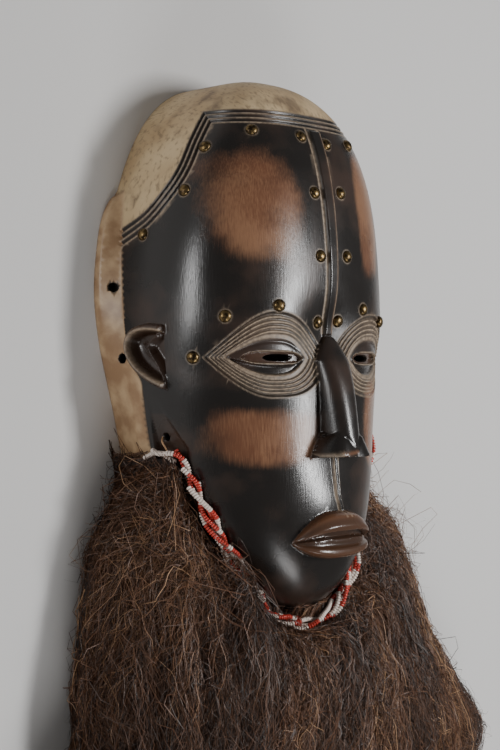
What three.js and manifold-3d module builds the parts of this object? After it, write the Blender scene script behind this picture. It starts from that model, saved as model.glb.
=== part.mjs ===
import * as THREE from 'three';
import Module from 'manifold-3d';

// Carved face mask lying on the flat rim of its back, face up, with nails, beads and a fibre beard.
// Millimetres. X runs to the mask's left ear, Y to the crown, Z out of the face, Z = 0 is the rim.
// Inside this file Y = 0 is the eye level; the finished parts are lifted by EYE_LEVEL along Y.

const EYE_LEVEL = 78.5;

// Plan of the face, seen from the front
const CROWN_Y = 195;
const CHIN_Y = -157;
const WIDEST_Y = 20;
const HALF_WIDTH = 93;
const CROWN_ROUNDNESS = 2.32;
const JAW_ROUNDNESS = 1.85;

// Profile of the face, seen from the side
const WALL_TOP = 30;
const DOME_RISE = 86;
const BROW_Y = 20;
const CHIN_TURN_Y = -60;
const FOREHEAD_ROUNDNESS = 2.85;
const CHIN_ROUNDNESS = 4;
const MUZZLE = { y: -84, rise: 4, across: 26, along: 24 };
const NOSE_ROOT_DIP = { y: 26, rise: -6, across: 28, along: 22 };

// Hollow back
const RIM_END = 13;
const RIM_SHARE = 0.85;
const WALL = 12;
const INNER_WALL_TOP = 18;

// Flange along the sides
const FLANGE_TOP_Y = 117;
const FLANGE_SHOULDER = 26;
const FLANGE_WIDTH = 9;
const FLANGE_EDGE = 5;
const JAW_UNDERCUT = 5.5;

// Ridge, nose and mouth
const RIDGE = { top: 157, bottom: 24, halfTop: 5.6, halfBottom: 4, rise: 2.6, sink: 5 };
const NOSE = {
  root: 25, base: -52, half: 13.8, taper: 0.17, riseRoot: 3, riseBase: 21.5,
  wing: 9.6, wingTop: -36, sink: 6,
  heights: [25, 20, 11, -3, -20, -36, -43, -52],
};
const MOUTH = { y: -105, half: 33, sink: 7, columns: 12 };

// Eyes: an outer lens of rings around a sunken inner lens with two lids and a slit
const EYE = {
  x: 46, y: 10.8, templeHalf: [25.5, 34], noseHalf: [24.5, 44], up: [11.6, 28.4], down: [11.8, 24.4],
  roundness: { temple: [2, 2], noseUp: [3, 2.2], noseDown: [3, 3.2] },
  rings: 4, ringDepth: 1.3, columns: 10,
};
const SLIT = { x: 39.5, half: 10, height: 1.9 };

// Hairline band of cut lines
const HAIRLINE = {
  lines: 3, spacing: 3.2, depth: 1.8, y: 163.5,
  temple: [[10, 87], [35, 99], [51, 115], [59, 130], [61, 149]], corner: 61,
};

// Round-headed nails, set by hand: [x, y] on the front and [z, y] on the side wall, right side first
const NAIL = { radius: 4, rise: 2.6, gap: 0.3, sides: 6 };
const FRONT_NAILS = [
  [[47, 153.5], [12.5, 152], [11, 115.3], [10.4, 75], [9.4, 33.3], [43.5, 43]],
  [[36, 151.5], [10, 149], [14, 117], [15, 76], [9.4, 34.5], [33, 42.6]],
];
const EDGE_NAILS = [
  [[34, 88.8], [63.3, 115], [69.5, 142.8], [93, 36], [75, 10.8]],
  [[34, 88.8], [63.3, 115], [69.5, 142.8], [104, 35.5], [75, 10.8]],
];

// Two twisted strands of beads; the garland is given by its distance from
// the middle, its height and how far it hangs below the jaw
const GARLAND = [
  [-84, 30, 0], [-84, 46, 0], [-79, 64, 0], [-66, 75, 0], [-48, 83, 0], [-24, 85, 3],
  [0, 90, 5], [22, 92, 7], [40, 91, 3], [54, 83, 0], [67, 75, 0], [77, 74, 0], [83, 60, 0],
];
const STRAND = { radius: 1.9, twist: 2.1, offset: 4.6, turns: 10, stations: 58, sides: 4 };

// Beard: attached along the jaw, a thick mass that spreads over the floor;
// its half width on each side and its height are given along Y
const BEARD = {
  rootHalf: 82, settling: 0.22, rootY: -44, chinDrop: 98, rootZ: [58, 84], end: -352,
  nearHalf: [
    [-352, 262], [-290, 180], [-237, 123], [-205, 125], [-143, 118], [-99, 106], [-65, 88], [-44, 84],
  ],
  farHalf: [
    [-352, 262], [-300, 262], [-272, 258], [-234, 214], [-191, 176], [-148, 164], [-105, 148],
    [-83, 122], [-44, 84],
  ],
  height: [[-352, 30], [-300, 78], [-250, 104], [-200, 107], [-142, 88], [-44, 70]],
  relief: 6, locks: 13, columns: 26, rows: 9,
};

// Space kept between touching pieces
const CLEARANCE = 0.5;

// Detail below this size is dropped from the finished solids
const SIMPLEST = { body: 0.3, beard: 0.15 };

const wasm = await Module();
wasm.setup();

const clamp = (v, low, high) => Math.min(Math.max(v, low), high);
const smooth = (v) => {
  const t = clamp(v, 0, 1);
  return t * t * (3 - 2 * t);
};
const mix = (a, b, t) => a + (b - a) * t;
const along = (table, y) => {
  const above = table.findIndex(([start]) => start > y);
  const i = above < 0 ? table.length - 1 : Math.max(above, 1);
  const [[startY, start], [endY, end]] = [table[i - 1], table[i]];
  return mix(start, end, clamp((y - startY) / (endY - startY), 0, 1));
};
const steps = (n) => Array.from({ length: n + 1 }, (_, i) => i / n);
const add = (p, q, k = 1) => [p[0] + q[0] * k, p[1] + q[1] * k, p[2] + q[2] * k];
const minus = (p, q) => add(p, q, -1);
const cross = (a, b) => [
  a[1] * b[2] - a[2] * b[1],
  a[2] * b[0] - a[0] * b[2],
  a[0] * b[1] - a[1] * b[0],
];
const unit = (p) => {
  const length = Math.hypot(...p) || 1;
  return p.map((v) => v / length);
};

// The plain dome of the face

function halfWidth(y) {
  const up = y > WIDEST_Y;
  const reach = up ? CROWN_Y - WIDEST_Y : WIDEST_Y - CHIN_Y;
  const n = up ? CROWN_ROUNDNESS : JAW_ROUNDNESS;
  const t = clamp(Math.abs(y - WIDEST_Y) / reach, 0, 1);
  return HALF_WIDTH * (1 - t ** n) ** (1 / n);
}

function domeRise(y) {
  const up = y > BROW_Y;
  const start = up ? BROW_Y : CHIN_TURN_Y;
  const end = up ? CROWN_Y : CHIN_Y;
  const n = up ? FOREHEAD_ROUNDNESS : CHIN_ROUNDNESS;
  const t = clamp((y - start) / (end - start), 0, 1);
  return DOME_RISE * (1 - t ** n) ** (1 / n);
}

function squareness(y) {
  return 2.3 + 0.7 * smooth((-20 - y) / 110) + 0.25 * smooth(y / 40) + 0.45 * smooth((y - 60) / 115);
}

function swelling(x, y) {
  return [MUZZLE, NOSE_ROOT_DIP].reduce((sum, bump) => {
    const across = x / bump.across;
    const along = (y - bump.y) / bump.along;
    return sum + bump.rise * Math.exp(-across * across - along * along);
  }, 0);
}

// Point of the plain face at a distance x from the middle, or at a height z on the side wall
function frontPoint(x, y) {
  const n = squareness(y);
  const t = clamp(Math.abs(x) / halfWidth(y), 0, 1);
  return [x, y, WALL_TOP + domeRise(y) * (1 - t ** n) ** (1 / n) + swelling(x, y)];
}

function sidePoint(z, y, side) {
  const n = squareness(y);
  const t = clamp((z - WALL_TOP) / domeRise(y), 0, 1);
  return [side * halfWidth(y) * (1 - t ** n) ** (1 / n), y, z];
}

function level(p) {
  const n = squareness(p[1]);
  const across = (Math.abs(p[0]) / halfWidth(p[1])) ** n;
  const up = Math.max(p[2] - swelling(p[0], p[1]) - WALL_TOP, 0) / domeRise(p[1]);
  return across + up ** n;
}

function normalAt(p) {
  const h = 0.05;
  const slope = [0, 1, 2].map((axis) => {
    const ahead = [...p];
    const behind = [...p];
    ahead[axis] += h;
    behind[axis] -= h;
    return level(ahead) - level(behind);
  });
  return unit(slope);
}

function flangeWidth(y) {
  const down = clamp((FLANGE_TOP_Y - y) / FLANGE_SHOULDER, 0, 1);
  const shoulder = Math.sqrt(1 - (1 - down) ** 2);
  const undercut = JAW_UNDERCUT * smooth((50 - y) / 100);
  return FLANGE_WIDTH * shoulder * (1 - smooth((70 - y) / 100)) - undercut;
}

function creaseHeight(y) {
  return clamp(8 + (115 - y) * 0.155, 8, 26);
}

// Solids from triangles, welded on a fine grid

function solid(triangles) {
  const index = new Map();
  const positions = [];
  const faces = [];
  const corner = (p) => {
    const key = p.map((v) => Math.round(v * 1000)).join();
    if (!index.has(key)) {
      index.set(key, positions.length / 3);
      positions.push(...p);
    }
    return index.get(key);
  };
  for (const triangle of triangles) {
    const [a, b, c] = triangle.map(corner);
    if (a !== b && b !== c && c !== a) faces.push(a, b, c);
  }
  const mesh = new wasm.Mesh({
    numProp: 3,
    vertProperties: new Float32Array(positions),
    triVerts: new Uint32Array(faces),
  });
  return new wasm.Manifold(mesh);
}

const quad = (a, b, c, d) => [[a, b, c], [a, c, d]];

function fan(ring) {
  return ring.slice(1, -1).map((p, i) => [ring[0], p, ring[i + 2]]);
}

// Rings of equal length joined in order and closed flat at both ends
function loft(rings) {
  const triangles = [...fan([...rings[0]].reverse()), ...fan(rings.at(-1))];
  for (let i = 0; i < rings.length - 1; i += 1) {
    const [near, far] = [rings[i], rings[i + 1]];
    near.forEach((p, j) => {
      const k = (j + 1) % near.length;
      triangles.push(...quad(p, near[k], far[k], far[j]));
    });
  }
  const made = solid(triangles);
  return made.volume() < 0 ? solid(triangles.map(([a, b, c]) => [a, c, b])) : made;
}

// A slab between two sheets over rows of surface points; rows that don't meet need closed ends
function slab(rows, upper, lower, closeEnds = false) {
  const sheet = (offset) => rows.map((row, i) => row.map((p, j) => add(p, normalAt(p), offset(i, j))));
  const top = sheet(upper);
  const bottom = sheet(lower);
  const triangles = [];
  for (let i = 0; i < rows.length - 1; i += 1) {
    for (let j = 0; j < rows[i].length - 1; j += 1) {
      triangles.push(...quad(top[i][j], top[i + 1][j], top[i + 1][j + 1], top[i][j + 1]));
      triangles.push(...quad(bottom[i][j], bottom[i][j + 1], bottom[i + 1][j + 1], bottom[i + 1][j]));
    }
  }
  const last = rows.length - 1;
  for (let j = 0; j < rows[0].length - 1; j += 1) {
    triangles.push(...quad(top[0][j], top[0][j + 1], bottom[0][j + 1], bottom[0][j]));
    triangles.push(...quad(top[last][j + 1], top[last][j], bottom[last][j], bottom[last][j + 1]));
  }
  const end = rows[0].length - 1;
  for (let i = 0; i < last && closeEnds; i += 1) {
    triangles.push(...quad(top[i + 1][0], top[i][0], bottom[i][0], bottom[i + 1][0]));
    triangles.push(...quad(top[i][end], top[i + 1][end], bottom[i + 1][end], bottom[i][end]));
  }
  const made = solid(triangles);
  return made.volume() < 0 ? solid(triangles.map(([a, b, c]) => [a, c, b])) : made;
}

// A bar along surface points: section is a list of [sideways, outwards] pairs
function bar(points, section) {
  const rings = points.map((p, i) => {
    const before = points[Math.max(i - 1, 0)];
    const after = points[Math.min(i + 1, points.length - 1)];
    const outward = normalAt(p);
    const sideways = unit(cross(minus(after, before), outward));
    const pairs = typeof section === 'function' ? section(i / (points.length - 1)) : section;
    return pairs.map(([s, o]) => add(add(p, sideways, s), outward, o));
  });
  return loft(rings);
}

// The hollow body

function outerHalf(y) {
  const w = halfWidth(y);
  const rise = domeRise(y);
  const n = squareness(y);
  const points = [0, 0.07, 0.15, 0.26, 0.37, 0.48, 0.58, 0.68, 0.8, 0.92].map((t) => {
    const a = (t * Math.PI) / 2;
    const r = (Math.sin(a) ** n + Math.cos(a) ** n) ** (-1 / n);
    const x = w * Math.sin(a) * r;
    return [x, WALL_TOP + rise * Math.cos(a) * r + swelling(x, y)];
  });
  const crease = creaseHeight(y);
  points.push([w, WALL_TOP], [w, crease]);
  points.push([w + flangeWidth(y), FLANGE_EDGE], [w + flangeWidth(y), 0]);
  return points;
}

function innerHalf(y, share) {
  const w = halfWidth(y) * share;
  const top = WALL_TOP + domeRise(y) - WALL;
  const rise = top - INNER_WALL_TOP;
  return [0, 0.2, 0.4, 0.6, 0.8, 1].map((t) => {
    const a = (t * Math.PI) / 2;
    const r = (Math.sin(a) ** 2.4 + Math.cos(a) ** 2.4) ** (-1 / 2.4);
    return [w * Math.sin(a) * r, INNER_WALL_TOP + rise * Math.cos(a) * r];
  }).concat([[w, -5]]);
}

function bothSides(half) {
  const left = half.slice(1).reverse().map(([x, z]) => [-x, z]);
  return [...left, ...half];
}

// Heights of the sections, closer together at both ends
function sectionAngles(count) {
  return steps(count).map((t) => mix(-1.545, 1.545, t));
}

// The solid face without its hollow, grown all round by a clearance;
// extra sections follow the root of the nose and the shoulder of the flange
function block(clearance = 0) {
  const middle = (CROWN_Y + CHIN_Y) / 2;
  const reach = (CROWN_Y - CHIN_Y) / 2;
  const heights = sectionAngles(22).map((angle) => middle + reach * Math.sin(angle));
  heights.push(NOSE_ROOT_DIP.y - 13, NOSE_ROOT_DIP.y, NOSE_ROOT_DIP.y + 8);
  heights.push(FLANGE_TOP_Y, FLANGE_TOP_Y - 5, FLANGE_TOP_Y - 13);
  heights.sort((a, b) => a - b);
  return loft(heights.map((y) => {
    const half = outerHalf(y).map(([x, z]) => [x + clearance, z > 0 ? z + clearance : -clearance]);
    if (clearance > 0) half.unshift([0, half[0][1]]);
    return bothSides(half).map(([x, z]) => [x, y + (clearance * (y - middle)) / reach, z]);
  }));
}

function hollow() {
  const middle = (CROWN_Y + CHIN_Y) / 2;
  const reach = (CROWN_Y - CHIN_Y) / 2;
  return loft(sectionAngles(16).map((angle) => {
    const y = middle + reach * Math.sin(angle);
    const innerY = middle + (reach - RIM_END) * Math.sin(angle);
    return bothSides(innerHalf(y, RIM_SHARE)).map(([x, z]) => [x, innerY, z]);
  }));
}

// Carving on the body

function ridge() {
  const points = steps(12).map((t) => frontPoint(0, mix(RIDGE.bottom, RIDGE.top, t)));
  return bar(points, (t) => {
    const half = mix(RIDGE.halfBottom, RIDGE.halfTop, t);
    const crest = half * 0.72;
    return [[-half, -RIDGE.sink], [half, -RIDGE.sink], [crest, RIDGE.rise], [-crest, RIDGE.rise]];
  });
}

// Rounded bridge from a pointed root; both nostril wings flare out just above the flat base
function nose() {
  const rows = NOSE.heights.map((y) => {
    const t = (NOSE.root - y) / (NOSE.root - NOSE.base);
    const half = NOSE.half * Math.min(1, ((NOSE.root - y + 1) / 17) ** 0.55) * (1 - NOSE.taper * t);
    const rise = mix(NOSE.riseRoot, NOSE.riseBase, t ** 0.55);
    const foot = frontPoint(half, y)[2] - 1;
    const arch = steps(8).map((s) => {
      const a = Math.PI * s;
      const across = Math.sign(Math.cos(a)) * Math.abs(Math.cos(a)) ** 0.8;
      const shoulder = Math.sin(2 * Math.min(a, Math.PI - a));
      const start = NOSE.wingTop - 12 * (1 - shoulder) * Math.sin(a);
      const flare = clamp((start - y) / (start - NOSE.base), 0, 1);
      const x = across * (half + NOSE.wing * flare);
      return [x, y, foot + (rise + 3 * flare * shoulder) * Math.sin(a) ** 0.8];
    });
    return [[arch[8][0], y, foot - NOSE.sink], [arch[0][0], y, foot - NOSE.sink], ...arch];
  });
  return loft(rows);
}

// One row of an eye from its corner at the temple to its corner at the nose;
// share is 0 on the inner lens and 1 on the outer lens, height is a share of the lens height
function eyeRow(side, share, height) {
  const pick = ([inner, outer]) => mix(inner, outer, share);
  const reach = height * pick(height > 0 ? EYE.up : EYE.down);
  const towardsNose = height > 0 ? EYE.roundness.noseUp : EYE.roundness.noseDown;
  return steps(EYE.columns).map((t) => {
    const q = 2 * t - 1;
    const half = pick(q < 0 ? EYE.templeHalf : EYE.noseHalf);
    const roundness = pick(q < 0 ? EYE.roundness.temple : towardsNose);
    return frontPoint(side * (EYE.x - half * q), EYE.y + reach * (1 - Math.abs(q) ** roundness));
  });
}

function eyeSocket(side) {
  const rows = [];
  const depths = [];
  const row = (share, height, depth) => {
    rows.push(eyeRow(side, share, height));
    depths.push(depth);
  };
  const ringRows = (sign, shares) => shares.forEach((share) => {
    const onLine = Math.abs(share * EYE.rings - Math.round(share * EYE.rings)) < 0.01;
    row(share, sign, share === 1 ? 0.2 : -(onLine ? 0.3 : EYE.ringDepth));
  });
  const shares = steps(EYE.rings * 2).reverse();
  ringRows(1, shares);
  row(0, 0.9, -2.6);
  row(0, 0.3, -1.4);
  row(0, 0.2, -4.5);
  row(0, -0.2, -4.5);
  row(0, -0.3, -1.4);
  row(0, -0.85, -3.2);
  ringRows(-1, [...shares].reverse());
  const corner = (j) => j === 0 || j === EYE.columns;
  return slab(rows, () => 3, (i, j) => (corner(j) ? Math.max(depths[i], -EYE.ringDepth) : depths[i]));
}

function eyeSlit(side) {
  const low = [];
  const high = [];
  for (const t of steps(6)) {
    const q = 2 * t - 1;
    const x = side * SLIT.x + SLIT.half * q;
    const half = SLIT.height * (1 - q ** 4) + 0.3;
    low.push([x, EYE.y - half]);
    high.unshift([x, EYE.y + half]);
  }
  const outline = [...low, ...high];
  return loft([60, 130].map((z) => outline.map(([x, y]) => [x, y, z])));
}

function lips() {
  const profile = [
    [19, -6], [18, 5], [12, 11], [9, 10.5], [8, 3], [4, 3], [3.6, 7],
    [-0.8, 7.5], [-1.8, 11], [-5, 12], [-9, 7], [-10.5, -6],
  ];
  const rows = profile.map(([height], i) => {
    const half = MOUTH.half - (i > 2 && i < 9 ? 3 : 0);
    return steps(MOUTH.columns).map((t) => {
      const q = 2 * t - 1;
      return frontPoint(half * q, MOUTH.y + height * (1 - Math.abs(q) ** 2.8));
    });
  });
  const fade = (j) => 1 - Math.abs(2 * (j / MOUTH.columns) - 1) ** 5;
  return slab(rows, (i, j) => (profile[i][1] > 0 ? 0.4 + profile[i][1] * fade(j) : 0.4), () => -MOUTH.sink);
}

function philtrum() {
  const points = steps(4).map((t) => frontPoint(0, mix(-50, -88, t)));
  return bar(points, [[-3.2, -3], [3.2, -3], [0, 2]]);
}

function hairline() {
  const cuts = [];
  const above = 1.2;
  const templeCurve = new THREE.SplineCurve(HAIRLINE.temple.map(([z, y]) => new THREE.Vector2(z, y)));
  for (let line = 0; line < HAIRLINE.lines; line += 1) {
    const shift = (line - (HAIRLINE.lines - 1) / 2) * HAIRLINE.spacing;
    const temple = (side) => templeCurve.getPoints(8)
      .map(({ x, y }) => sidePoint(x - shift * 0.8, y + shift * 0.8, side));
    const corner = (side) => sidePoint(HAIRLINE.corner - shift, HAIRLINE.y + shift, side);
    const across = steps(8).map((t) => frontPoint(mix(-50, 50, t), HAIRLINE.y + shift));
    const points = [...temple(-1), corner(-1), ...across, corner(1), ...temple(1).reverse()];
    const half = HAIRLINE.spacing * 0.36 * (1 + above / HAIRLINE.depth);
    cuts.push(bar(points, [[-half, above], [0, -HAIRLINE.depth], [half, above]]));
  }
  return cuts;
}

// Ear: a raised rim leaning back from an upright front edge, a hollow and a small curved fold
function earCurve(side, inset, count) {
  const key = [[57, 30 - inset], [20 + inset, 36 - inset], [14 + inset * 1.6, 10], [57, -8 + inset]];
  return steps(count).map((t) => {
    const share = [(1 - t) ** 3, 3 * t * (1 - t) ** 2, 3 * t * t * (1 - t), t ** 3];
    const [z, y] = [0, 1].map((axis) => key.reduce((sum, point, i) => sum + point[axis] * share[i], 0));
    return sidePoint(z, y, side);
  });
}

function earRim(side) {
  const section = side < 0
    ? [[-2.6, -4], [2.6, -4], [2.4, 2], [-0.8, 6.5], [-2.2, 6]]
    : [[-2.6, -4], [2.6, -4], [2.2, 6], [0.8, 6.5], [-2.4, 2]];
  return bar(earCurve(side, 2, 10), section);
}

function earHollow(side) {
  const ring = earCurve(side, 3, 9);
  return loft([-4, 9].map((offset) => ring.map((p) => add(p, normalAt(p), offset))));
}

function earFold(side) {
  const points = steps(5).map((t) => {
    const back = 5 * Math.sin(Math.PI * t);
    return sidePoint(mix(47, 55, t) - back, mix(21, -3, t), side);
  });
  return bar(points, [[-1.8, -6], [1.8, -6], [0.7, 1], [-0.7, 1]]);
}

// Ledge behind the edge of the jaw, growing deeper towards the chin
function jawStep(side) {
  const rows = steps(3).map((t) => steps(6).map((s) => {
    const y = mix(-16, -140, s);
    const front = mix(49, 66, Math.min(s * 4.2, 1));
    return sidePoint(mix(41, front, t), y, side);
  }));
  return slab(rows, () => 6, (i, j) => -mix(0.1, 6, smooth(j / 2.5)), true);
}

function cylinder(p, direction, radius, length, sides = 10) {
  const axis = unit(direction);
  const across = unit(cross(axis, Math.abs(axis[1]) > 0.9 ? [1, 0, 0] : [0, 1, 0]));
  const up = cross(axis, across);
  const ring = (distance) => Array.from({ length: sides }, (_, i) => {
    const a = (2 * Math.PI * i) / sides;
    return add(add(add(p, axis, distance), across, radius * Math.cos(a)), up, radius * Math.sin(a));
  });
  return loft([ring(-length / 2), ring(length / 2)]);
}

function cordHoles(side) {
  return [
    cylinder([side * 95, 56, 13], [side * 0.35, 0, 1], 2.9, 40),
    cylinder([side * 94, 10.5, 20], [side, 0, 0.6], 3.2, 46),
    cylinder([side * 80, -39, 49], [side, 0, 0.3], 2.6, 46),
  ];
}

function carvedBody() {
  const sides = [-1, 1];
  const holes = sides.flatMap(cordHoles);
  const cuts = [...hairline(), ...sides.map(earHollow), ...sides.map(eyeSocket), ...sides.map(jawStep)];
  const raised = [ridge(), philtrum(), lips(), nose(), ...sides.map(earRim), ...sides.map(earFold)];
  let body = block();
  for (const cut of cuts) body = body.subtract(cut);
  for (const form of raised) body = body.add(form);
  for (const cut of [...holes, ...sides.map(eyeSlit), hollow()]) body = body.subtract(cut);
  return body.simplify(SIMPLEST.body);
}

// Nails

function nailPlaces() {
  return [-1, 1].flatMap((side, i) => [
    ...FRONT_NAILS[i].map(([x, y]) => frontPoint(side * x, y)),
    ...EDGE_NAILS[i].map(([z, y]) => sidePoint(z, y, side)),
  ]);
}

function nail(p) {
  const outward = normalAt(p);
  const across = unit(cross(outward, [0, 1, 0]));
  const up = cross(outward, across);
  const ring = (radius, rise) => Array.from({ length: NAIL.sides }, (_, i) => {
    const a = (2 * Math.PI * (i + 0.5)) / NAIL.sides;
    const centre = add(p, outward, rise);
    return add(add(centre, across, radius * Math.cos(a)), up, radius * Math.sin(a));
  });
  return loft([
    ring(NAIL.radius, NAIL.gap),
    ring(NAIL.radius * 0.82, NAIL.gap + NAIL.rise * 0.6),
    ring(NAIL.radius * 0.35, NAIL.gap + NAIL.rise),
  ]);
}

// Beads: two strands twisted round each other along the edge of the jaw

function jawPoint(x, z) {
  let low = CHIN_Y;
  let high = -20;
  for (let i = 0; i < 40; i += 1) {
    const y = (low + high) / 2;
    if (level([x, y, z]) > 1) low = y;
    else high = y;
  }
  return [x, high, z];
}

function garland(count) {
  const key = GARLAND.map(([x, z, hang]) => new THREE.Vector3(...add(jawPoint(x, z), [0, -hang, 0])));
  const curve = new THREE.CatmullRomCurve3(key, false, 'centripetal');
  return curve.getSpacedPoints(count).map((v) => v.toArray());
}

function strand(phase) {
  const points = garland(STRAND.stations);
  const rings = points.map((p, i) => {
    const before = points[Math.max(i - 1, 0)];
    const after = points[Math.min(i + 1, points.length - 1)];
    const forward = unit(minus(after, before));
    const outward = normalAt(p);
    const sideways = unit(cross(forward, outward));
    const turn = phase + (2 * Math.PI * i * STRAND.turns) / STRAND.stations;
    const lifted = add(p, outward, STRAND.offset + STRAND.twist * Math.sin(turn));
    const centre = add(lifted, sideways, STRAND.twist * Math.cos(turn));
    const radius = STRAND.radius * (i % 2 ? 1 : 0.8);
    return Array.from({ length: STRAND.sides }, (_, k) => {
      const a = (2 * Math.PI * k) / STRAND.sides;
      const turned = add(centre, sideways, radius * Math.cos(a));
      return add(turned, cross(forward, sideways), radius * Math.sin(a));
    });
  });
  return loft(rings);
}

// Room for both strands, cut out of the beard
function strandRoom() {
  const radius = STRAND.radius + STRAND.twist + 0.8;
  const circle = steps(7).slice(1).map((t) => {
    const a = 2 * Math.PI * t;
    return [radius * Math.cos(a), STRAND.offset + radius * Math.sin(a)];
  });
  return bar(garland(36), circle);
}

// Beard: locks that start along the jaw and spread over the floor

function beardPoint(u, v) {
  const side = mix(-1, 1, u);
  const middle = Math.cos((side * Math.PI) / 2);
  const lock = Math.abs(Math.sin(u * BEARD.locks * Math.PI)) - 0.6;
  const y = mix(BEARD.rootY - BEARD.chinDrop * middle, BEARD.end + 12 * (lock + 0.6), v);
  const settled = smooth(v / BEARD.settling);
  const half = along(side < 0 ? BEARD.nearHalf : BEARD.farHalf, y);
  const x = mix(BEARD.rootHalf * Math.sin((side * Math.PI) / 2), side * half, settled);
  const round = Math.sqrt(1 - 0.92 * Math.abs(side) ** 3);
  const z = mix(mix(...BEARD.rootZ, middle ** 1.5), along(BEARD.height, y) * round, settled);
  return [x, y, z + BEARD.relief * lock * Math.min(v * 4, 1)];
}

function beard() {
  const top = steps(BEARD.columns).map((u) => steps(BEARD.rows).map((v) => beardPoint(u, v)));
  const last = top.length - 1;
  const inner = top.map(([p]) => p);
  const edge = [...top[0], ...top.slice(1, last).map((line) => line.at(-1)), ...[...top[last]].reverse()];
  const outline = [...edge, ...inner.slice(1, last).reverse()];
  const floor = outline.map(([x, y]) => [x, y, 0]);
  const triangles = [];
  for (let i = 0; i < last; i += 1) {
    for (let j = 0; j < BEARD.rows; j += 1) {
      triangles.push(...quad(top[i][j], top[i][j + 1], top[i + 1][j + 1], top[i + 1][j]));
    }
  }
  outline.forEach((p, i) => {
    const k = (i + 1) % outline.length;
    triangles.push(...quad(outline[k], p, floor[i], floor[k]));
  });
  const flat = floor.map(([x, y]) => new THREE.Vector2(x, y));
  THREE.ShapeUtils.triangulateShape(flat, []).forEach(([a, b, c]) => {
    const anticlockwise = THREE.ShapeUtils.area([flat[a], flat[b], flat[c]]) > 0;
    triangles.push(anticlockwise ? [floor[a], floor[c], floor[b]] : [floor[a], floor[b], floor[c]]);
  });
  return solid(triangles).subtract(block(CLEARANCE)).subtract(strandRoom()).simplify(SIMPLEST.beard);
}

const COLOURS = { wood: 0x3a2418, brass: 0xb08d3c, beads: 0xb5432f, fibre: 0x2c1a14 };

function part(name, made, colour) {
  const { vertProperties, triVerts } = made.getMesh();
  const geometry = new THREE.BufferGeometry();
  geometry.setAttribute('position', new THREE.BufferAttribute(new Float32Array(vertProperties), 3));
  geometry.setIndex([...triVerts]);
  geometry.translate(0, EYE_LEVEL, 0);
  const mesh = new THREE.Mesh(geometry, new THREE.MeshStandardMaterial({ color: colour }));
  mesh.name = name;
  return mesh;
}

const group = new THREE.Group();
const strands = [strand(0), strand(Math.PI)];
group.add(part('mask_body', carvedBody(), COLOURS.wood));
nailPlaces().forEach((p, i) => {
  group.add(part(`brass_nail_${String(i + 1).padStart(2, '0')}`, nail(p), COLOURS.brass));
});
strands.forEach((made, i) => group.add(part(`bead_strand_${i + 1}`, made, COLOURS.beads)));
group.add(part('beard', beard(), COLOURS.fibre));
export default group;
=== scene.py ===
import math

import bmesh
import bpy
import numpy as np
from mathutils import Matrix, Vector


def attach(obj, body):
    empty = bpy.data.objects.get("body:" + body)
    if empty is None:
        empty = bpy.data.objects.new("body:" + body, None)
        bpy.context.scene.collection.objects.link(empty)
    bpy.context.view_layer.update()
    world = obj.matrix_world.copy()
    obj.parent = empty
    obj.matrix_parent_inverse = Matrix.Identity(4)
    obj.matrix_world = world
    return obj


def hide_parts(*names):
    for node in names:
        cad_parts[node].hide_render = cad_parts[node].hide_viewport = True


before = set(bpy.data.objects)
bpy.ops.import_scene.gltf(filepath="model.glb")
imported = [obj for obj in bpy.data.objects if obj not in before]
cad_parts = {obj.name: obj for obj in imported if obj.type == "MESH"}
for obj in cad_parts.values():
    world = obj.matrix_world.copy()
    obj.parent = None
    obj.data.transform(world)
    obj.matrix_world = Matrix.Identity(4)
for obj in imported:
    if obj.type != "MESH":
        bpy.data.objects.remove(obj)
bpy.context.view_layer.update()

# Carved face mask lying face up on the flat rim of its back.
# Lengths are millimetres until a mesh is made. X runs to the mask's left ear, Y to the crown and
# Z out of the face. Y = 0 is the eye level, and every mesh is lifted by EYE_LEVEL along Y.

MM = 0.001
EYE_LEVEL = 78.5
rng = np.random.default_rng(7)

# Plain form of the face
CROWN_Y, CHIN_Y, WIDEST_Y, HALF_WIDTH = 195, -157, 20, 93
CROWN_ROUNDNESS, JAW_ROUNDNESS = 2.32, 1.85
WALL_TOP, DOME_RISE, BROW_Y, CHIN_TURN_Y = 30, 86, 20, -60
FOREHEAD_ROUNDNESS, CHIN_ROUNDNESS = 2.85, 4
MUZZLE = dict(y=-84, rise=4, across=26, along=24)
NOSE_ROOT_DIP = dict(y=26, rise=-6, across=28, along=22)
# Where the section grows squarer: the height it starts at, over how many mm, and by how much
LEAST_SQUARENESS = 2.3
SQUARER = ((-20, -110, 0.7), (0, 40, 0.25), (60, 115, 0.45))
MIDDLE_Y = (CROWN_Y + CHIN_Y) / 2
REACH_Y = (CROWN_Y - CHIN_Y) / 2
END_ANGLE = 1.545
FRONT_Z = 60

# Hollow back and flange
RIM_END, RIM_SHARE, WALL, INNER_WALL_TOP = 13, 0.85, 12, 18
INNER_DOME_SHARE = 0.85
FLANGE_TOP_Y, FLANGE_SHOULDER, FLANGE_WIDTH, FLANGE_EDGE = 117, 26, 9, 5
NARROWING_Y, UNDERCUT_Y, FADE_LENGTH = 70, 50, 100
JAW_UNDERCUT, CAP_BEVEL, CAP_BEVEL_LENGTH = 5.5, 0.4, 12
CREASE = dict(top_y=115, slope=0.155, low=8, high=26)

# Shares of a half section, from the middle of the face to its foot
DOME_SHARE, WALL_SHARE, SLOPE_SHARE = 0.7, 0.8, 0.95

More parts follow.
